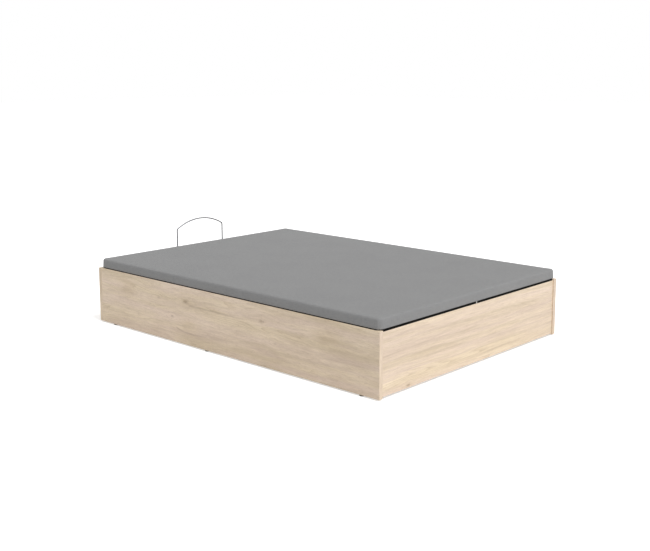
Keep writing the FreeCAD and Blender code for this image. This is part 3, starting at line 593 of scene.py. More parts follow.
@dataclass(frozen=True)
class WoodFinish(Finish):
    """Wood or wood print with its grain along one direction.

    Attributes:
        name: Name of the material.
        colours: Colours of the wood.
        run: Direction of the grain.
        cut: Where in the pattern this board is cut.
        coarseness: Width of the grain beside that of the oak print.
        length: Length of its figure beside that of the oak print.
        roughness: Roughness of the surface.
        knots: Knots in the board.
        veins: Dark lines in the board.
        vein_strength: Strength of the dark lines.
        fibre_strength: Strength of the fibres' colour.
        pore_strength: Strength of the pores' colour.
        pore_roughness: What a pore adds to the roughness.
        relief: Depth of the pores.
        specular: Strength of its mirror light.
    """

    name: str
    colours: GrainColours
    run: GrainRun
    cut: float
    coarseness: float = 1.0
    length: float = 1.0
    roughness: float = 0.5
    knots: tuple[Knot, ...] = ()
    veins: tuple[Vein, ...] = ()
    vein_strength: float = 0.35
    fibre_strength: float = 0.16
    pore_strength: float = 0.45
    pore_roughness: float = 0.15
    relief: float = 0.05 * MM
    specular: float = 0.3

    def place(self, nodes: Nodes) -> Socket:
        """Lay grain coordinates along the board's run and up its height, but upright on its end strips.

        Args:
            nodes: Nodes of the material.

        Returns:
            The place in grain coordinates.
        """
        end_facing = 0.7
        seen = nodes.add("ShaderNodeTexCoord").outputs
        across_x, along_y, up = nodes.split(seen["Object"])
        normal_x, normal_y, _ = nodes.split(seen["Normal"])
        lengthwise = self.run is GrainRun.LENGTHWISE
        run, side = (along_y, across_x) if lengthwise else (across_x, along_y)
        end_normal = nodes.math("ABSOLUTE", normal_y if lengthwise else normal_x)
        depth = nodes.plus(side, self.cut)
        on_end = nodes.math("GREATER_THAN", end_normal, end_facing)
        return nodes.choose(on_end, nodes.join(run, up, depth), nodes.join(up, depth, run))

    def shade(self, nodes: Nodes, effects: Effects) -> dict[str, Value]:
        """Lay the grain over the ground colour, then the stains, veins and knots.

        Args:
            nodes: Nodes of the material.
            effects: Shared effect groups.

        Returns:
            Values and sockets for the surface shader's inputs, by name.
        """
        wood = self.colours
        place = self.place(nodes)
        stains = []
        eyes = []
        for knot in self.knots:
            bent = nodes.use(effects.knot, Place=place, Along=knot.along, Across=knot.height,
                             Radius=knot.radius, Bend=knot.bend)
            place = bent["Place"]
            stains.append(nodes.times(bent["Stain"], knot.stain))
            eyes.append(nodes.times(bent["Eye"], knot.eye))
        for vein in self.veins:
            drawn = nodes.use(effects.vein, Place=place, Along=vein.along, Across=vein.height,
                              Length=vein.length, Width=vein.width)
            eyes.append(nodes.times(drawn["Line"], self.vein_strength))
        grain = nodes.use(effects.grain, Place=place, Coarseness=self.coarseness, Length=self.length)
        colour = nodes.blend(grain["Tint"], wood.pink, wood.yellow)
        for mask in stains:
            colour = nodes.blend(mask, colour, wood.stain)
        colour = nodes.blend(1.0, colour, nodes.blend(grain["Tone"], wood.dark, wood.pale), "MULTIPLY")
        colour = nodes.blend(grain["Lines"], colour, nodes.blend(1.0, colour, wood.line, "MULTIPLY"))
        fibres = nodes.times(grain["Fibres"], self.fibre_strength)
        pores = nodes.times(grain["Pores"], self.pore_strength)
        for mask in (fibres, pores):
            colour = nodes.blend(mask, colour, wood.pore)
        for mask in eyes:
            colour = nodes.blend(mask, colour, wood.knot)
        return {
            "Base Color": colour,
            "Roughness": nodes.plus(nodes.times(grain["Pores"], self.pore_roughness), self.roughness),
            "Normal": nodes.bump(grain["Height"], self.relief),
            "Specular IOR Level": self.specular,
        }


@dataclass(frozen=True)
class FabricFinish(Finish):
    """Woven cover cloth, laid out on the piece's own map in metres.

    Attributes:
        name: Name of the material.
        yarn: Main colour of the yarn.
        shade_yarn: Colour of the darker flecks and clouds of the yarn, and of the painted shade in the gaps
            between threads.
        pitch: Distance from thread to thread.
        fleck_slimness: Width of a fleck beside its length.
        fleck_strength: Strength of the flecks.
        gap_strength: Strength of the painted shade in the gaps between threads.
        cloud_cells: Clouds of colour to the metre.
        cloud_strength: Strength of those clouds.
        relief: Height of a thread.
        roughness: Roughness of the surface.
        specular: Strength of its mirror light.
        sheen: Strength of its nap.
        sheen_roughness: Roughness of its nap.
    """

    name: str
    yarn: Colour
    shade_yarn: Colour
    pitch: float
    fleck_slimness: float = 0.06
    fleck_strength: float = 0.5
    gap_strength: float = 0.35
    cloud_cells: float = 5.0
    cloud_strength: float = 0.12
    relief: float = 0.25 * MM
    roughness: float = 0.9
    specular: float = 0.2
    sheen: float = 0.1
    sheen_roughness: float = 0.5

    def shade(self, nodes: Nodes, effects: Effects) -> dict[str, Value]:
        """Weave the cloth, paint shade into the gaps between its threads, fleck its yarn and cloud its colour
        a little.

        Args:
            nodes: Nodes of the material.
            effects: Shared effect groups.

        Returns:
            Values and sockets for the surface shader's inputs, by name.
        """
        laid = nodes.add("ShaderNodeUVMap", uv_map=CLOTH_MAP).outputs[0]
        weave = nodes.use(effects.weave, Place=laid, Pitch=self.pitch)
        wide = 1 / self.pitch
        slim = self.fleck_slimness * wide
        fleck_range = (0.85, 1.25)
        cloud_range = (0.35, 0.7)
        flecks = [nodes.noise(nodes.stretch(laid, scale), 1.0, detail=1.0)
                  for scale in ((wide, slim, 1.0), (slim, wide, 1.0))]
        fleck = nodes.between(nodes.plus(*flecks), *fleck_range)
        cloud = nodes.between(nodes.noise(laid, self.cloud_cells, detail=3.0), *cloud_range)
        # The gap mask paints shade between the threads; the flecks and clouds are the yarn's own colour.
        colour = self.yarn
        masks = (fleck, weave["Gaps"], cloud)
        strengths = (self.fleck_strength, self.gap_strength, self.cloud_strength)
        for mask, strength in zip(masks, strengths):
            colour = nodes.blend(nodes.times(mask, strength), colour, self.shade_yarn)
        return {
            "Base Color": colour,
            "Normal": nodes.bump(weave["Height"], self.relief),
            "Roughness": self.roughness,
            "Specular IOR Level": self.specular,
            "Sheen Weight": self.sheen,
            "Sheen Roughness": self.sheen_roughness,
        }


@dataclass(frozen=True)
class CoatFinish(Finish):
    """Coat, plating or moulding with a cloudy colour and a fine surface.

    Attributes:
        name: Name of the material.
        base: Main colour.
        cloud: Colour of its cloudy patches.
        grain: Size of the fine surface grain.
        relief: Depth of that grain.
        metallic: 1 for bare or plated metal.
        smooth: Roughness where it is smoothest.
        rough: Roughness where it is roughest.
        specular: Strength of its mirror light.
    """

    name: str
    base: Colour
    cloud: Colour
    grain: float
    relief: float
    metallic: float
    smooth: float
    rough: float
    specular: float = 0.5

    def shade(self, nodes: Nodes, effects: Effects) -> dict[str, Value]:
        """Cloud the colour and roughen the surface.

        Args:
            nodes: Nodes of the material.
            effects: Shared effect groups.

        Returns:
            Values and sockets for the surface shader's inputs, by name.
        """
        place = nodes.add("ShaderNodeTexCoord").outputs["Object"]
        mottle = nodes.use(effects.mottle, Place=place, Grain=self.grain)
        spread = nodes.times(nodes.plus(mottle["Cloud"], mottle["Fine"]), (self.rough - self.smooth) / 2)
        return {
            "Base Color": nodes.blend(mottle["Cloud"], self.base, self.cloud),
            "Roughness": nodes.plus(spread, self.smooth),
            "Normal": nodes.bump(mottle["Fine"], self.relief),
            "Metallic": self.metallic,
            "Specular IOR Level": self.specular,
        }


@dataclass(frozen=True)
class FlakeFinish(Finish):
    """Pressed board of wood flakes or fibres.

    Attributes:
        name: Name of the material.
        pale: Colour of the palest flakes.
        dark: Colour of the darkest flakes.
        flake: Size of a flake.
        slimness: Width of a flake beside its length.
        flake_share: How much of the shade is the flakes', the rest being dust.
        dust_cells: Specks of dust to a flake.
        relief: Depth between flakes.
        roughness: Roughness of the surface.
    """

    name: str
    pale: Colour
    dark: Colour
    flake: float
    slimness: float = 0.55
    flake_share: float = 0.6
    dust_cells: float = 3.0
    relief: float = 0.1 * MM
    roughness: float = 0.8

    def shade(self, nodes: Nodes, effects: Effects) -> dict[str, Value]:
        """Scatter flakes of different shade over the board.

        Args:
            nodes: Nodes of the material.
            effects: Shared effect groups, not used here.

        Returns:
            Values and sockets for the surface shader's inputs, by name.
        """
        place = nodes.add("ShaderNodeTexCoord").outputs["Object"]
        inputs = {"Vector": nodes.stretch(place, (1.0, self.slimness, 1.0)), "Scale": 1 / self.flake}
        cells = nodes.add("ShaderNodeTexVoronoi", inputs, distance="MANHATTAN")
        flakes = nodes.times(nodes.split(cells.outputs["Color"])[0], self.flake_share)
        dust = nodes.noise(place, self.dust_cells / self.flake, detail=3.0, roughness=0.6)
        share = nodes.math("ADD", flakes, nodes.times(dust, 1 - self.flake_share), clamp=True)
        return {
            "Base Color": nodes.blend(share, self.pale, self.dark),
            "Normal": nodes.bump(share, self.relief),
            "Roughness": self.roughness,
        }


LEFT_SIDE_KNOTS = (
    Knot(along=0.246, height=0.216, radius=0.018, eye=0.6, stain=0.25),
    Knot(along=0.351, height=0.129, radius=0.010, eye=0.45, stain=0.0),
    Knot(along=-0.274, height=0.211, radius=0.016, eye=0.5, stain=0.15),
    Knot(along=0.450, height=0.204, radius=0.013, eye=0.3, stain=0.0),
    Knot(along=-0.359, height=0.127, radius=0.010, eye=0.25, stain=0.1),
    Knot(along=-0.849, height=0.208, radius=0.012, eye=0.15, stain=0.0),
    Knot(along=0.699, height=0.209, radius=0.022, eye=0.0, stain=0.4),
    Knot(along=-0.664, height=0.211, radius=0.026, eye=0.0, stain=0.4),
    Knot(along=0.222, height=0.105, radius=0.022, eye=0.0, stain=0.3),
)
LEFT_SIDE_VEINS = (
    Vein(along=0.246, height=0.200, length=0.42, width=0.004),
    Vein(along=0.335, height=0.068, length=0.26, width=0.005),
)
FOOT_KNOTS = (
    Knot(along=-0.485, height=0.022, radius=0.010, eye=0.6, stain=0.2),
)
RIGHT_SIDE_KNOTS = (
    Knot(along=-0.42, height=0.180, radius=0.013, eye=0.6, stain=0.25),
    Knot(along=0.37, height=0.115, radius=0.011, eye=0.5, stain=0.2),
    Knot(along=0.71, height=0.200, radius=0.024, eye=0.0, stain=0.4),
)
PINE_ACROSS = WoodFinish("pine_crosswise", PINE, GrainRun.CROSSWISE, 5.9, 2.2, 1.0, 0.65)
GLOSS_BLACK = CoatFinish(
    "black_gloss_paint", linear(28, 28, 29), linear(24, 24, 25), 4.0 * MM, 0.01 * MM, 0.0, 0.16, 0.30)
POLISHED_CHROME = CoatFinish(
    "polished_chrome", linear(214, 215, 217), linear(200, 201, 204), 3.0 * MM, 0.002 * MM, 1.0, 0.06, 0.16)

FINISHES: dict[str, Finish] = {
    "side_panel_left": WoodFinish(
        "oak_side_left", OAK, GrainRun.LENGTHWISE, 3.1, knots=LEFT_SIDE_KNOTS, veins=LEFT_SIDE_VEINS),
    "side_panel_right": WoodFinish(
        "oak_side_right", OAK, GrainRun.LENGTHWISE, 11.7, knots=RIGHT_SIDE_KNOTS),
    "foot_panel": WoodFinish("oak_foot", OAK, GrainRun.CROSSWISE, 6.4, 0.6, 1.7, knots=FOOT_KNOTS),
    "head_panel": WoodFinish("oak_head", OAK, GrainRun.CROSSWISE, 17.9),
    "pine": WoodFinish("pine_lengthwise", PINE, GrainRun.LENGTHWISE, 2.3, 2.2, 1.0, 0.65),
    "ledger_foot": PINE_ACROSS,
    "ledger_head": PINE_ACROSS,
    "lid_fabric": FabricFinish("grey_weave", linear(150, 150, 150), linear(125, 125, 126), 1.4 * MM),
    # Black lining under the lid cover: partly the cover's real underside, partly painted shade that darkens
    # the gap under the lid.
    "lid_lining": CoatFinish(
        "black_lining_and_gap_shade", linear(30, 30, 31), linear(24, 24, 25), 0.9 * MM, 0.06 * MM, 0.0, 0.86, 0.95, 0.2),
    "hardboard": FlakeFinish("faced_hardboard", linear(206, 190, 166), linear(188, 170, 144), 3 * MM),
    "chipboard": FlakeFinish("raw_chipboard", linear(206, 178, 138), linear(150, 116, 78), 5 * MM),
    "frame_steel": CoatFinish(
        "black_powder_coat", linear(44, 44, 46), linear(38, 38, 40), 1.2 * MM, 0.04 * MM, 0.0, 0.42, 0.58),
    "hinge_steel": CoatFinish(
        "grey_powder_coat", linear(84, 85, 88), linear(76, 77, 80), 1.0 * MM, 0.04 * MM, 0.0, 0.40, 0.55),
    "zinc_steel": CoatFinish(
        "zinc_plate", linear(206, 206, 200), linear(182, 184, 186), 2.0 * MM, 0.01 * MM, 1.0, 0.26, 0.46),
    "arch_chrome": CoatFinish(
        "satin_nickel", linear(140, 140, 142), linear(128, 128, 131), 3.0 * MM, 0.004 * MM, 1.0, 0.42, 0.56),
    "gas_cylinder_left": GLOSS_BLACK,
    "gas_cylinder_right": GLOSS_BLACK,
    "gas_rod_left": POLISHED_CHROME,
    "gas_rod_right": POLISHED_CHROME,
    "black_plastic": CoatFinish(
        "black_moulding", linear(40, 40, 41), linear(34, 34, 35), 0.6 * MM, 0.03 * MM, 0.0, 0.45, 0.62),
    "white_plastic": CoatFinish(
        "white_moulding", linear(226, 224, 216), linear(216, 213, 204), 0.6 * MM, 0.02 * MM, 0.0, 0.40, 0.56),
    "glides": CoatFinish(
        "grey_glide", linear(106, 98, 88), linear(96, 89, 80), 0.6 * MM, 0.02 * MM, 0.0, 0.45, 0.60),
    # The foot lid rest is white nylon darkened to grey: painted shade for where it sits under the lid's foot
    # edge.
    "foot_lid_rest": CoatFinish(
        "white_nylon_painted_shade", linear(184, 182, 176), linear(174, 172, 166), 0.6 * MM, 0.02 * MM, 0.0, 0.45, 0.60),
    # Near-black rubber of the rim and foot strips: rests for the lid, and painted shade that darkens the gap
    # under the lid.
    "rubber": CoatFinish(
        "black_rubber_and_gap_shade", linear(14, 13, 12), linear(10, 9, 9), 0.8 * MM, 0.03 * MM, 0.0, 0.80, 0.95, 0.08),
}
SLOTS: dict[str, str] = {row["node"]: row["material_slot"] for row in frame["record"]["subparts"]}
BODIES: dict[str, str] = {
    node: body for body, nodes in frame["record"]["behaviour"]["bodies"].items() for node in nodes
}
PIVOTS: dict[str, Vector] = {
    row["name"]: Vector(row["pos_m"]) for row in frame["record"]["behaviour"]["joints"]
}


def paint(piece: bpy.types.Object, effects: Effects, *finishes: str) -> None:
    """Give a piece its finishes: one all over, or one for each number that its faces carry.

    Args:
        piece: The piece.
        effects: Shared effect groups.
        finishes: Keys of the finishes.
    """
    piece.data.materials.clear()
    for finish in finishes:
        piece.data.materials.append(FINISHES[finish].material(effects))


def new_piece(name: str, mesh: bmesh.types.BMesh) -> bpy.types.Object:
    """Turn a bmesh into an object at the origin and free the bmesh.

    Args:
        name: Name of the piece.
        mesh: Its shape, already in place.

    Returns:
        The object.
    """
    data = bpy.data.meshes.new(name)
    mesh.to_mesh(data)
    mesh.free()
    piece = bpy.data.objects.new(name, data)
    bpy.context.scene.collection.objects.link(piece)
    return piece


def merged_copy(node: str) -> bmesh.types.BMesh:
    """Copy a node's shape, with its loose triangles joined into whole faces.

    Args:
        node: Name of the node.

    Returns:
        The copy.
    """
    mesh = bmesh.new()
    mesh.from_mesh(frame["nodes"][node].data)
    bmesh.ops.remove_doubles(mesh, verts=mesh.verts, dist=WELD_GAP)
    bmesh.ops.dissolve_limit(mesh, angle_limit=FLAT_ANGLE, verts=mesh.verts, edges=mesh.edges)
    return mesh


def round_edges(mesh: bmesh.types.BMesh, edges: list, radius: float, segments: int) -> None:
    """Round some edges of a shape.

    Args:
        mesh: The shape.
        edges: The edges.
        radius: Radius of the rounding.
        segments: Faces across the rounding.
    """
    bmesh.ops.bevel(mesh, geom=edges, offset=radius, offset_type="OFFSET", affect="EDGES",
                    segments=segments, profile=0.5, material=-1, clamp_overlap=True)


def cut_across(mesh: bmesh.types.BMesh, place: Vector, normal: Vector) -> list:
    """Cut the faces of a shape along a plane.

    Args:
        mesh: The shape.
        place: A point of the plane.
        normal: Direction across the plane.

    Returns:
        The vertices on the cut.
    """
    everything = mesh.verts[:] + mesh.edges[:] + mesh.faces[:]
    cut = bmesh.ops.bisect_plane(mesh, geom=everything, dist=CUT_GAP, plane_co=place, plane_no=normal)
    return [item for item in cut["geom_cut"] if isinstance(item, bmesh.types.BMVert)]


class Drive(Enum):
    """Recess in the head of a fastener."""

    CROSS = "cross"
    STAR = "star"
    HEXAGON = "hexagon"
    DIMPLE = "dimple"

    def reach(self, angle: float) -> float:
        """Give how far the recess reaches in one direction.

        Args:
            angle: The direction, in radians.

        Returns:
            The reach, as a share of the widest.
        """
        if self is Drive.CROSS:
            waist = 0.25
            slimness = 5
            return waist + (1 - waist) * abs(math.cos(2 * angle)) ** slimness
        if self is Drive.STAR:
            dip = 0.16
            points = 6
            return 1 - dip + dip * math.cos(points * angle)
        if self is Drive.HEXAGON:
            corner = math.radians(60)
            return math.cos(corner / 2) / math.cos(angle % corner - corner / 2)
        return 1.0


@dataclass(frozen=True)
class Head:
    """Head of a screw, bolt or pin.

    Attributes:
        drive: Recess in it.
        share: Width of the recess as a share of the head's.
        depth: Depth of the recess.
        rounding: Rounding of the rim.
    """

    drive: Drive
    share: float
    depth: float
    rounding: float

    @staticmethod
    def is_disc(face: bmesh.types.BMFace) -> bool:
        """Tell the round end of a fastener from its other faces.

        Args:
            face: The face.

        Returns:
            Whether it has many corners and fills most of its circle.
        """
        most_corners = 8
        least_fill = 0.9
        middle = face.calc_center_median()
        reach = max((vert.co - middle).length for vert in face.verts)
        return len(face.verts) > most_corners and face.calc_area() > least_fill * math.pi * reach ** 2

    def cut(self, mesh: bmesh.types.BMesh, cap: bmesh.types.BMFace) -> list:
        """Cut the recess into the end of a head.

        Args:
            mesh: The fasteners.
            cap: The end face.

        Returns:
            The edges of the head's rim.
        """
        rim = cap.edges[:]
        middle = cap.calc_center_median()
        radius = max((vert.co - middle).length for vert in cap.verts)
        right = cap.normal.orthogonal().normalized()
        ahead = cap.normal.cross(right)
        border = radius * (1 - self.share)
        bmesh.ops.inset_individual(mesh, faces=[cap], thickness=border, use_even_offset=True)
        for edge in cap.edges[:]:
            bmesh.utils.edge_split(edge, edge.verts[0], 0.5)
        for vert in cap.verts:
            away = vert.co - middle
            angle = math.atan2(away.dot(ahead), away.dot(right))
            vert.co = middle + away.normalized() * radius * self.share * self.drive.reach(angle)
        bmesh.ops.inset_individual(mesh, faces=[cap], thickness=0.0, depth=-self.depth)
        return rim


@dataclass
class SubAssembly:
    """Pieces of the frame that are finished together.

    Attributes:
        effects: Shared effect groups.
    """

    effects: Effects

    @staticmethod
    def finish(node: str) -> str:
        """Choose the finish of a node: its own where it has one, and otherwise that of its slot."""
        return node if node in FINISHES else SLOTS[node]

    def dress(self, *nodes: str) -> None:
        """Give pieces whose shape is right their finish.

        Args:
            nodes: Names of the nodes.
        """
        for node in nodes:
            paint(frame["nodes"][node], self.effects, self.finish(node))
            log.info("%s is finished", node)

    def stand_in(self, node: str, mesh: bmesh.types.BMesh) -> None:
        """Put a more detailed piece in the place of a node.

        Args:
            node: Name of the node.
            mesh: Shape of the piece.
        """
        piece = new_piece(f"{node}_detailed", mesh)
        piece.data.shade_smooth()
        piece.data.set_sharp_from_angle(angle=SHARP_ANGLE)
        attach(piece, BODIES[node])
        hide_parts(node)
        paint(piece, self.effects, self.finish(node))
        log.info("%s is detailed", node)

    def ease(self, radius: float, *nodes: str, lengthwise: bool = False) -> None:
        """Round the sharp edges of pieces a little.

        Args:
            radius: Radius of the rounding.
            nodes: Names of the nodes.
            lengthwise: Whether only the edges along a piece's length are rounded.
        """
        for node in nodes:
            mesh = merged_copy(node)
            self.ease_edges(node, mesh, radius, lengthwise)
            self.stand_in(node, mesh)

    @staticmethod
    def ease_edges(node: str, mesh: bmesh.types.BMesh, radius: float, lengthwise: bool = False) -> None:
        """Round the sharp edges of a copied shape.

        Args:
            node: Name of the node.
            mesh: Its copied shape.
            radius: Radius of the rounding.
            lengthwise: Whether only the edges along its length are rounded.
        """
        low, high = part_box(node)
        span = high - low
        run = max(range(3), key=lambda axis: span[axis])
        sharp = [edge for edge in mesh.edges if edge.is_manifold and edge.calc_face_angle() > SHARP_ANGLE]
        if lengthwise:
            ways = [(edge.verts[1].co - edge.verts[0].co).normalized() for edge in sharp]
            sharp = [edge for edge, way in zip(sharp, ways) if abs(way[run]) > STRAIGHT]
        round_edges(mesh, sharp, radius, segments=2)

    def fit_heads(self, head: Head, *nodes: str) -> None:
        """Round the heads of fasteners and cut their recesses.

        Args:
            head: What the heads are like.
            nodes: Names of the nodes.
        """
        head_share = 0.6
        for node in nodes:
            mesh = merged_copy(node)
            discs = [face for face in mesh.faces if head.is_disc(face)]
            least = head_share * max(face.calc_area() for face in discs)
            rims = []
            for cap in [face for face in discs if face.calc_area() > least]:
                rims += head.cut(mesh, cap)
            round_edges(mesh, rims, head.rounding, segments=3)
            self.stand_in(node, mesh)


@dataclass
class StorageBox(SubAssembly):
    """Box of the bed: panels, floor, battens, feet and corner angles.

    Attributes:
        batten_round: Rounding along the edges of the battens.
        moulding_round: Rounding of the plastic and rubber pieces.
        angle_round: Rounding of the corner angles.
        screw_head: Head of the corner screws.
    """

    batten_round: float = 2.0 * MM
    moulding_round: float = 0.8 * MM
    angle_round: float = 0.5 * MM
    screw_head: Head = Head(Drive.CROSS, 0.62, 1.4 * MM, 1.2 * MM)

    def build(self) -> None:
        """Finish the panels and floor, and detail the rest."""
        self.dress("side_panel_left", "side_panel_right", "foot_panel", "head_panel")
        self.dress("floor_sheet_foot", "floor_sheet_head")
        self.ease(self.batten_round, "ledger_left", "ledger_right", "ledger_foot", "ledger_head",
                  "centre_beam", lengthwise=True)
        self.ease(self.moulding_round, "floor_joiner", "foot_lid_rest", "glides", "centre_feet")
        # The rim and foot strips are dark rubber set in the gap under the lid: lid rests that also stand in
        # as that gap's painted shade.
        self.ease(self.moulding_round, "rim_strip_left", "rim_strip_right", "foot_strip_left",
                  "foot_strip_right", lengthwise=True)
        self.ease(self.angle_round, "corner_angles")
        self.fit_heads(self.screw_head, "corner_screws")


@dataclass
class LiftLinkage(SubAssembly):
    """Hinge plates, links, brackets, pins and gas springs at both sides.

    Attributes:
        plate_round: Rounding of the pressed steel plates and links.
        eye_round: Rounding of the gas springs' eyes.
        cap_round: Rounding of the cylinders' ends.
        groove_back: How far the pressed groove lies behind the rod end of a cylinder.
        groove_half: Half the width of the groove.
        groove_depth: Depth of the groove.
        pin_head: Head of the pivot pins.
        bolt_head: Head of the bolts in the lid brackets.
        screw_head: Head of the screws in the hinge plates.
    """

    plate_round: float = 0.7 * MM
    eye_round: float = 0.8 * MM
    cap_round: float = 1.6 * MM
    groove_back: float = 11.0 * MM
    groove_half: float = 2.5 * MM
    groove_depth: float = 1.0 * MM
    pin_head: Head = Head(Drive.DIMPLE, 0.3, 0.6 * MM, 1.2 * MM)
    bolt_head: Head = Head(Drive.HEXAGON, 0.55, 2.0 * MM, 0.8 * MM)
    screw_head: Head = Head(Drive.STAR, 0.55, 1.4 * MM, 1.0 * MM)

    def build(self) -> None:
        """Detail every piece on both sides."""
        plates = ("hinge_plate", "lid_bracket", "rear_link", "front_link")
        for side in ("left", "right"):
            self.ease(self.plate_round, *[f"{plate}_{side}" for plate in plates])
            self.press_cylinder(f"gas_cylinder_{side}")
            self.dress(f"gas_rod_{side}")
        self.ease(self.eye_round, "gas_cylinder_eyes", "gas_rod_eyes")
        self.fit_heads(self.pin_head, *[node for node in SLOTS if node.endswith("_pins")])
        self.fit_heads(self.bolt_head, "lid_bracket_bolts")
        self.fit_heads(self.screw_head, "hinge_plate_screws")

    def press_cylinder(self, node: str) -> None:
        """Press a groove round a cylinder near its rod, and round its ends.

        Args:
            node: Name of the cylinder's node.
        """
        outer_share = 0.9
        low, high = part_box(node)
        foot = PIVOTS["gas_cylinder_swing"].copy()
        foot.x = (low.x + high.x) / 2
        axis = (PIVOTS["gas_rod_swing"] - PIVOTS["gas_cylinder_swing"]).normalized()
        mesh = merged_copy(node)
        self.ease_edges(node, mesh, self.cap_round)
        far = max((vert.co - foot).dot(axis) for vert in mesh.verts)
        groove = foot + axis * (far - self.groove_back)
        for offset in (-self.groove_half, self.groove_half, 0.0):
            ring = cut_across(mesh, groove + axis * offset, axis)
        widest = max((vert.co - groove).length for vert in ring)
        for vert in ring:
            away = vert.co - groove
            if away.length > outer_share * widest:
                vert.co = groove + away * (1 - self.groove_depth / widest)
        self.stand_in(node, mesh)


@dataclass
class LidFrame(SubAssembly):
    """Steel tubes and board inside the lid.

    Attributes:
        tube_round: Rounding of the tubes' corners.
    """

    tube_round: float = 2.5 * MM

    def build(self) -> None:
        """Round the tubes and finish the board."""
        tubes = [node for node in SLOTS if node.startswith(("lid_rail_", "lid_cross_rail_"))]
        self.ease(self.tube_round, *tubes, lengthwise=True)
        self.dress("lid_board")


@dataclass
class MattressArch(SubAssembly):
    """Bent rod at the head end that keeps the mattress in place, with its clamps.

    Attributes:
        clamp_round: Rounding of the clamps.
        bolt_head: Head of the clamp bolts.
    """

    clamp_round: float = 1.5 * MM
    bolt_head: Head = Head(Drive.HEXAGON, 0.55, 1.6 * MM, 0.6 * MM)

    def build(self) -> None:
        """Finish the rod and detail its clamps and bolts."""
        self.dress("mattress_arch")
        self.ease(self.clamp_round, "arch_clamps")
        self.fit_heads(self.bolt_head, "arch_bolts")


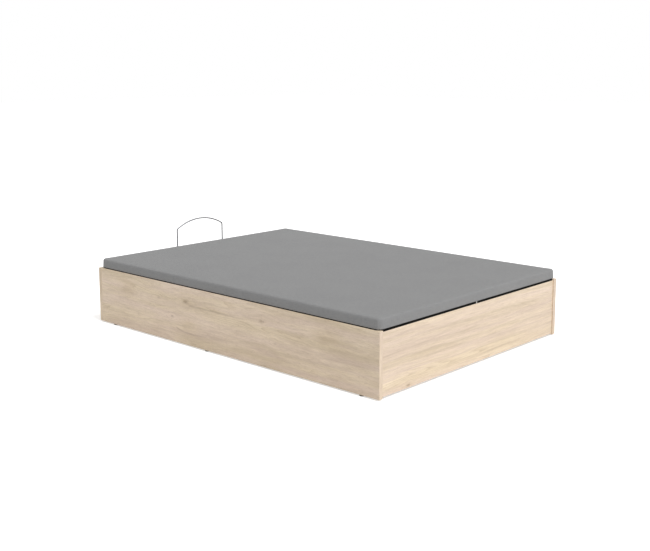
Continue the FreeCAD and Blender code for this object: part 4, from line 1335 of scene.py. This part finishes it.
@dataclass
class LidUpholstery:
    """Padded cloth cover of the lid: a soft slab drawn over the board and the tube frame.

    Attributes:
        effects: Shared effect groups.
        corner_radius: Radius of the upright corners.
        top_round: Radius of the edge round the top.
        hem_round: Radius of the edge round the bottom.
        side_thick: Thickness of cover and foam at the sides.
        top_thick: Thickness of cover and foam on top.
        cell: Size of the mesh cells that the padding swells in.
        swell: How far the padding may swell.
        pressure: Pressure of the padding in the simulation.
        last_frame: Frame at which the padding has settled.
    """

    effects: Effects
    corner_radius: float = 22 * MM
    top_round: float = 10 * MM
    hem_round: float = 2 * MM
    side_thick: float = 5 * MM
    top_thick: float = 10 * MM
    cell: float = 30 * MM
    swell: float = 2 * MM
    pressure: float = 4.0
    last_frame: int = 20

    def build(self) -> None:
        """Model, pad and lay out the cover."""
        low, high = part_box("lid_cover")
        piece = new_piece("lid_upholstery", self.slab(low, high))
        self.pad(piece, low)
        self.lay_out(piece)
        piece.data.shade_smooth()
        smooth = piece.modifiers.new("soft edges", "SUBSURF")
        smooth.levels = 1
        smooth.render_levels = 1
        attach(piece, "lid")
        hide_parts("lid_cover")
        # The second finish, the black lining, is the cover's underside and also paints shade into the gap
        # under the lid.
        paint(piece, self.effects, "lid_fabric", "lid_lining")
        log.info("%s is finished", piece.name)

    def slab(self, low: Vector, high: Vector) -> bmesh.types.BMesh:
        """Shape the hollow slab.

        Args:
            low: Lowest corner of the cover.
            high: Highest corner.

        Returns:
            The closed shape, open underneath where the frame and board sit.
        """
        lining_and_shade_slope = 0.3
        mesh = bmesh.new()
        bmesh.ops.create_cube(mesh, size=1.0)
        bmesh.ops.scale(mesh, vec=high - low, verts=mesh.verts)
        bmesh.ops.translate(mesh, vec=(low + high) / 2, verts=mesh.verts)
        uprights = [edge for edge in mesh.edges if edge.verts[0].co.xy == edge.verts[1].co.xy]
        round_edges(mesh, uprights, self.corner_radius, segments=6)
        round_edges(mesh, self.level_edges(mesh, high.z), self.top_round, segments=4)
        round_edges(mesh, self.level_edges(mesh, low.z), self.hem_round, segments=2)
        under = [face for face in mesh.faces if face.normal.z < -STRAIGHT]
        rim = self.side_thick - self.hem_round
        bmesh.ops.inset_region(mesh, faces=under, thickness=rim, use_even_offset=True)
        roof = bmesh.ops.extrude_face_region(mesh, geom=under)
        lifted = [item for item in roof["geom"] if isinstance(item, bmesh.types.BMVert)]
        bmesh.ops.translate(mesh, vec=(0, 0, high.z - low.z - self.top_thick), verts=lifted)
        bmesh.ops.delete(mesh, geom=under, context="FACES")
        self.divide(mesh, low, high)
        bmesh.ops.recalc_face_normals(mesh, faces=mesh.faces)
        wall = Vector((self.side_thick, self.side_thick, self.top_thick)) / 2
        for face in mesh.faces:
            middle = face.calc_center_median()
            within = all(low[axis] + wall[axis] < middle[axis] < high[axis] - wall[axis] for axis in (0, 1))
            inside = within and middle.z < high.z - wall.z
            # Inside and downward faces take the second finish, the black lining: partly the real underside,
            # partly painted shade for the gap under the lid.
            face.material_index = int(inside or face.normal.z < -lining_and_shade_slope)
        return mesh

    @staticmethod
    def level_edges(mesh: bmesh.types.BMesh, height: float) -> list:
        """Find the edges that lie flat at one height."""
        return [edge for edge in mesh.edges
                if all(abs(vert.co.z - height) < WELD_GAP for vert in edge.verts)]

    def divide(self, mesh: bmesh.types.BMesh, low: Vector, high: Vector) -> None:
        """Cut the slab into cells across and along, so that it can swell.

        Args:
            mesh: The slab.
            low: Lowest corner of the cover.
            high: Highest corner.
        """
        for axis in (0, 1):
            normal = Vector((axis == 0, axis == 1, 0))
            start = low[axis] + self.corner_radius
            span = high[axis] - low[axis] - 2 * self.corner_radius
            count = round(span / self.cell)
            for number in range(count + 1):
                cut_across(mesh, normal * (start + span * number / count), normal)

    def pad(self, piece: bpy.types.Object, low: Vector) -> None:
        """Swell the cover with a cloth simulation, capped, and keep its result.

        Args:
            piece: The cover.
            low: Lowest corner of the cover.
        """
        roof_slope = 0.5
        margin = 0.1 * MM
        hem_top = low.z + self.corner_radius
        inside_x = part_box("lid_board")[1].x + margin
        rest = [vert.co.copy() for vert in piece.data.vertices]
        held = piece.vertex_groups.new(name="held")
        for vert in piece.data.vertices:
            roof = abs(vert.co.x) < inside_x and vert.normal.z < -roof_slope
            if vert.co.z < hem_top or roof:
                held.add([vert.index], 1.0, "REPLACE")
        cloth = piece.modifiers.new("padding", "CLOTH")
        cloth.settings.use_pressure = True
        cloth.settings.uniform_pressure_force = self.pressure
        cloth.settings.vertex_group_mass = held.name
        cloth.settings.effector_weights.gravity = 0.0
        cloth.point_cache.frame_start = 1
        cloth.point_cache.frame_end = self.last_frame
        scene = bpy.context.scene
        for number in range(1, self.last_frame + 1):
            scene.frame_set(number)
        settled = piece.evaluated_get(bpy.context.evaluated_depsgraph_get()).data
        for vert, before, after in zip(piece.data.vertices, rest, settled.vertices):
            move = after.co - before
            if move.length > 0:
                reach = self.swell * math.tanh(move.length / self.swell)
                vert.co = before + move.normalized() * reach
        piece.modifiers.remove(cloth)
        scene.frame_set(1)
        log.info("the cover is padded")

    @staticmethod
    def lay_out(piece: bpy.types.Object) -> None:
        """Lay the cloth out on a map in metres: the top as seen from above, the sides along their length.

        Args:
            piece: The cover.
        """
        chart = piece.data.uv_layers.new(name=CLOTH_MAP)
        for polygon in piece.data.polygons:
            facing = [abs(part) for part in polygon.normal]
            for corner in polygon.loop_indices:
                x, y, z = piece.data.vertices[piece.data.loops[corner].vertex_index].co
                if facing[2] >= max(facing[0], facing[1]):
                    chart.data[corner].uv = (x, y)
                elif facing[0] > facing[1]:
                    chart.data[corner].uv = (z, y)
                else:
                    chart.data[corner].uv = (x, z)


@dataclass
class Studio:
    """White floor and background, soft light and the photograph's viewpoint.

    Attributes:
        image_width: Width of the picture in pixels.
        sensor: Width of the camera's sensor in millimetres.
        focal: Focal length in pixels.
        eye: Place of the camera.
        yaw: Turn of the view from +Y towards +X, in radians.
        pitch: Downward tilt of the view, in radians.
        drop: How far the picture is shifted down from the lens's axis, in pixels.
        aside: How far it is shifted to the left, in pixels.
        sight: How far the camera sees.
        sky: Strength of the even light from all round.
        sun: Brightness of the soft lamp on a face turned to it.
        sun_height: Height of the lamp above the horizon, in degrees.
        sun_spread: Apparent size of the lamp, in degrees.
        floor_half: Half the width of the floor.
        floor_colour: How much light the floor gives back.
        floor_glow: What the floor adds in the picture, so that only its shadows are darker than white.
    """

    image_width: int = 650
    sensor: float = 36.0
    focal: float = 998.0
    eye: Vector = Vector((-3.5935, -3.3905, 1.3141))
    yaw: float = 0.8358
    pitch: float = 0.1559
    drop: float = 52.0
    aside: float = 17.3
    sight: float = 100.0
    sky: float = 0.48
    sun: float = 0.607
    sun_height: float = 59.0
    sun_spread: float = 22.0
    floor_half: float = 30.0
    floor_colour: float = 0.9
    floor_glow: float = 0.5

    def build(self) -> None:
        """Set up the camera, the world, the lamp and the floor."""
        bpy.context.scene.view_settings.view_transform = "Standard"
        self.add_camera()
        self.add_world()
        self.add_lamp()
        self.add_floor()

    @staticmethod
    def stand(name: str, data: bpy.types.ID, forward: Vector) -> bpy.types.Object:
        """Put a camera or a lamp into the scene, turned in one direction.

        Args:
            name: Name of the object.
            data: The camera or the lamp.
            forward: The direction that it faces.

        Returns:
            The object.
        """
        stood = bpy.data.objects.new(name, data)
        stood.rotation_euler = forward.to_track_quat("-Z", "Y").to_euler()
        bpy.context.scene.collection.objects.link(stood)
        return stood

    def add_camera(self) -> None:
        """Stand the camera where the photograph was taken."""
        lens = bpy.data.cameras.new("viewpoint")
        lens.sensor_width = self.sensor
        lens.lens = self.sensor * self.focal / self.image_width
        lens.shift_x = -self.aside / self.image_width
        lens.shift_y = -self.drop / self.image_width
        lens.clip_end = self.sight
        level = math.cos(self.pitch)
        forward = Vector((level * math.sin(self.yaw), level * math.cos(self.yaw), -math.sin(self.pitch)))
        camera = self.stand("viewpoint", lens, forward)
        camera.location = self.eye
        bpy.context.scene.camera = camera

    @staticmethod
    def seen_directly(nodes: Nodes) -> Socket:
        """Tell rays of the picture, of reflections and through glass from rays that light the object.

        Args:
            nodes: Nodes of the floor or the world.

        Returns:
            1 for rays that show, and 0 for rays that light.
        """
        path = nodes.add("ShaderNodeLightPath").outputs
        sharp = nodes.math("MAXIMUM", path["Is Glossy Ray"], path["Is Transmission Ray"])
        return nodes.math("MAXIMUM", path["Is Camera Ray"], sharp)

    def add_world(self) -> None:
        """Light the scene evenly from all round, and show it white."""
        world = bpy.data.worlds.new("white studio")
        nodes = Nodes.fresh(world)
        white = (1, 1, 1, 1)
        lighting = nodes.add("ShaderNodeBackground", {"Color": white, "Strength": self.sky}).outputs[0]
        shown = nodes.add("ShaderNodeBackground", {"Color": white}).outputs[0]
        mix = nodes.add("ShaderNodeMixShader", {0: self.seen_directly(nodes), 1: lighting, 2: shown})
        nodes.add("ShaderNodeOutputWorld", {"Surface": mix.outputs[0]})
        bpy.context.scene.world = world

    def add_lamp(self) -> None:
        """Shine a wide soft lamp on the foot end from above."""
        lamp = bpy.data.lights.new("soft lamp", "SUN")
        lamp.energy = self.sun * math.pi
        lamp.angle = math.radians(self.sun_spread)
        height = math.radians(self.sun_height)
        self.stand("soft lamp", lamp, Vector((0, math.cos(height), -math.sin(height))))

    def add_floor(self) -> None:
        """Lay the pale floor, white in the picture but for its shadows."""
        mesh = bmesh.new()
        bmesh.ops.create_grid(mesh, x_segments=1, y_segments=1, size=self.floor_half)
        floor = new_piece("floor", mesh)
        coat = bpy.data.materials.new("floor paint")
        nodes = Nodes.fresh(coat)
        pale = (self.floor_colour, self.floor_colour, self.floor_colour, 1)
        matt = nodes.add("ShaderNodeBsdfDiffuse", {"Color": pale})
        strength = nodes.times(self.seen_directly(nodes), self.floor_glow)
        glow = nodes.add("ShaderNodeEmission", {"Strength": strength})
        both = nodes.add("ShaderNodeAddShader", {0: matt.outputs[0], 1: glow.outputs[0]})
        nodes.add("ShaderNodeOutputMaterial", {"Surface": both.outputs[0]})
        floor.data.materials.append(coat)


def main() -> None:
    """Dress the frame, pad the lid and light the scene."""
    logging.basicConfig(level=logging.INFO)
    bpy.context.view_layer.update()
    effects = Effects()
    for assembly in (StorageBox, LiftLinkage, LidFrame, MattressArch, LidUpholstery):
        assembly(effects).build()
    Studio().build()


if __name__ == "__main__":
    main()
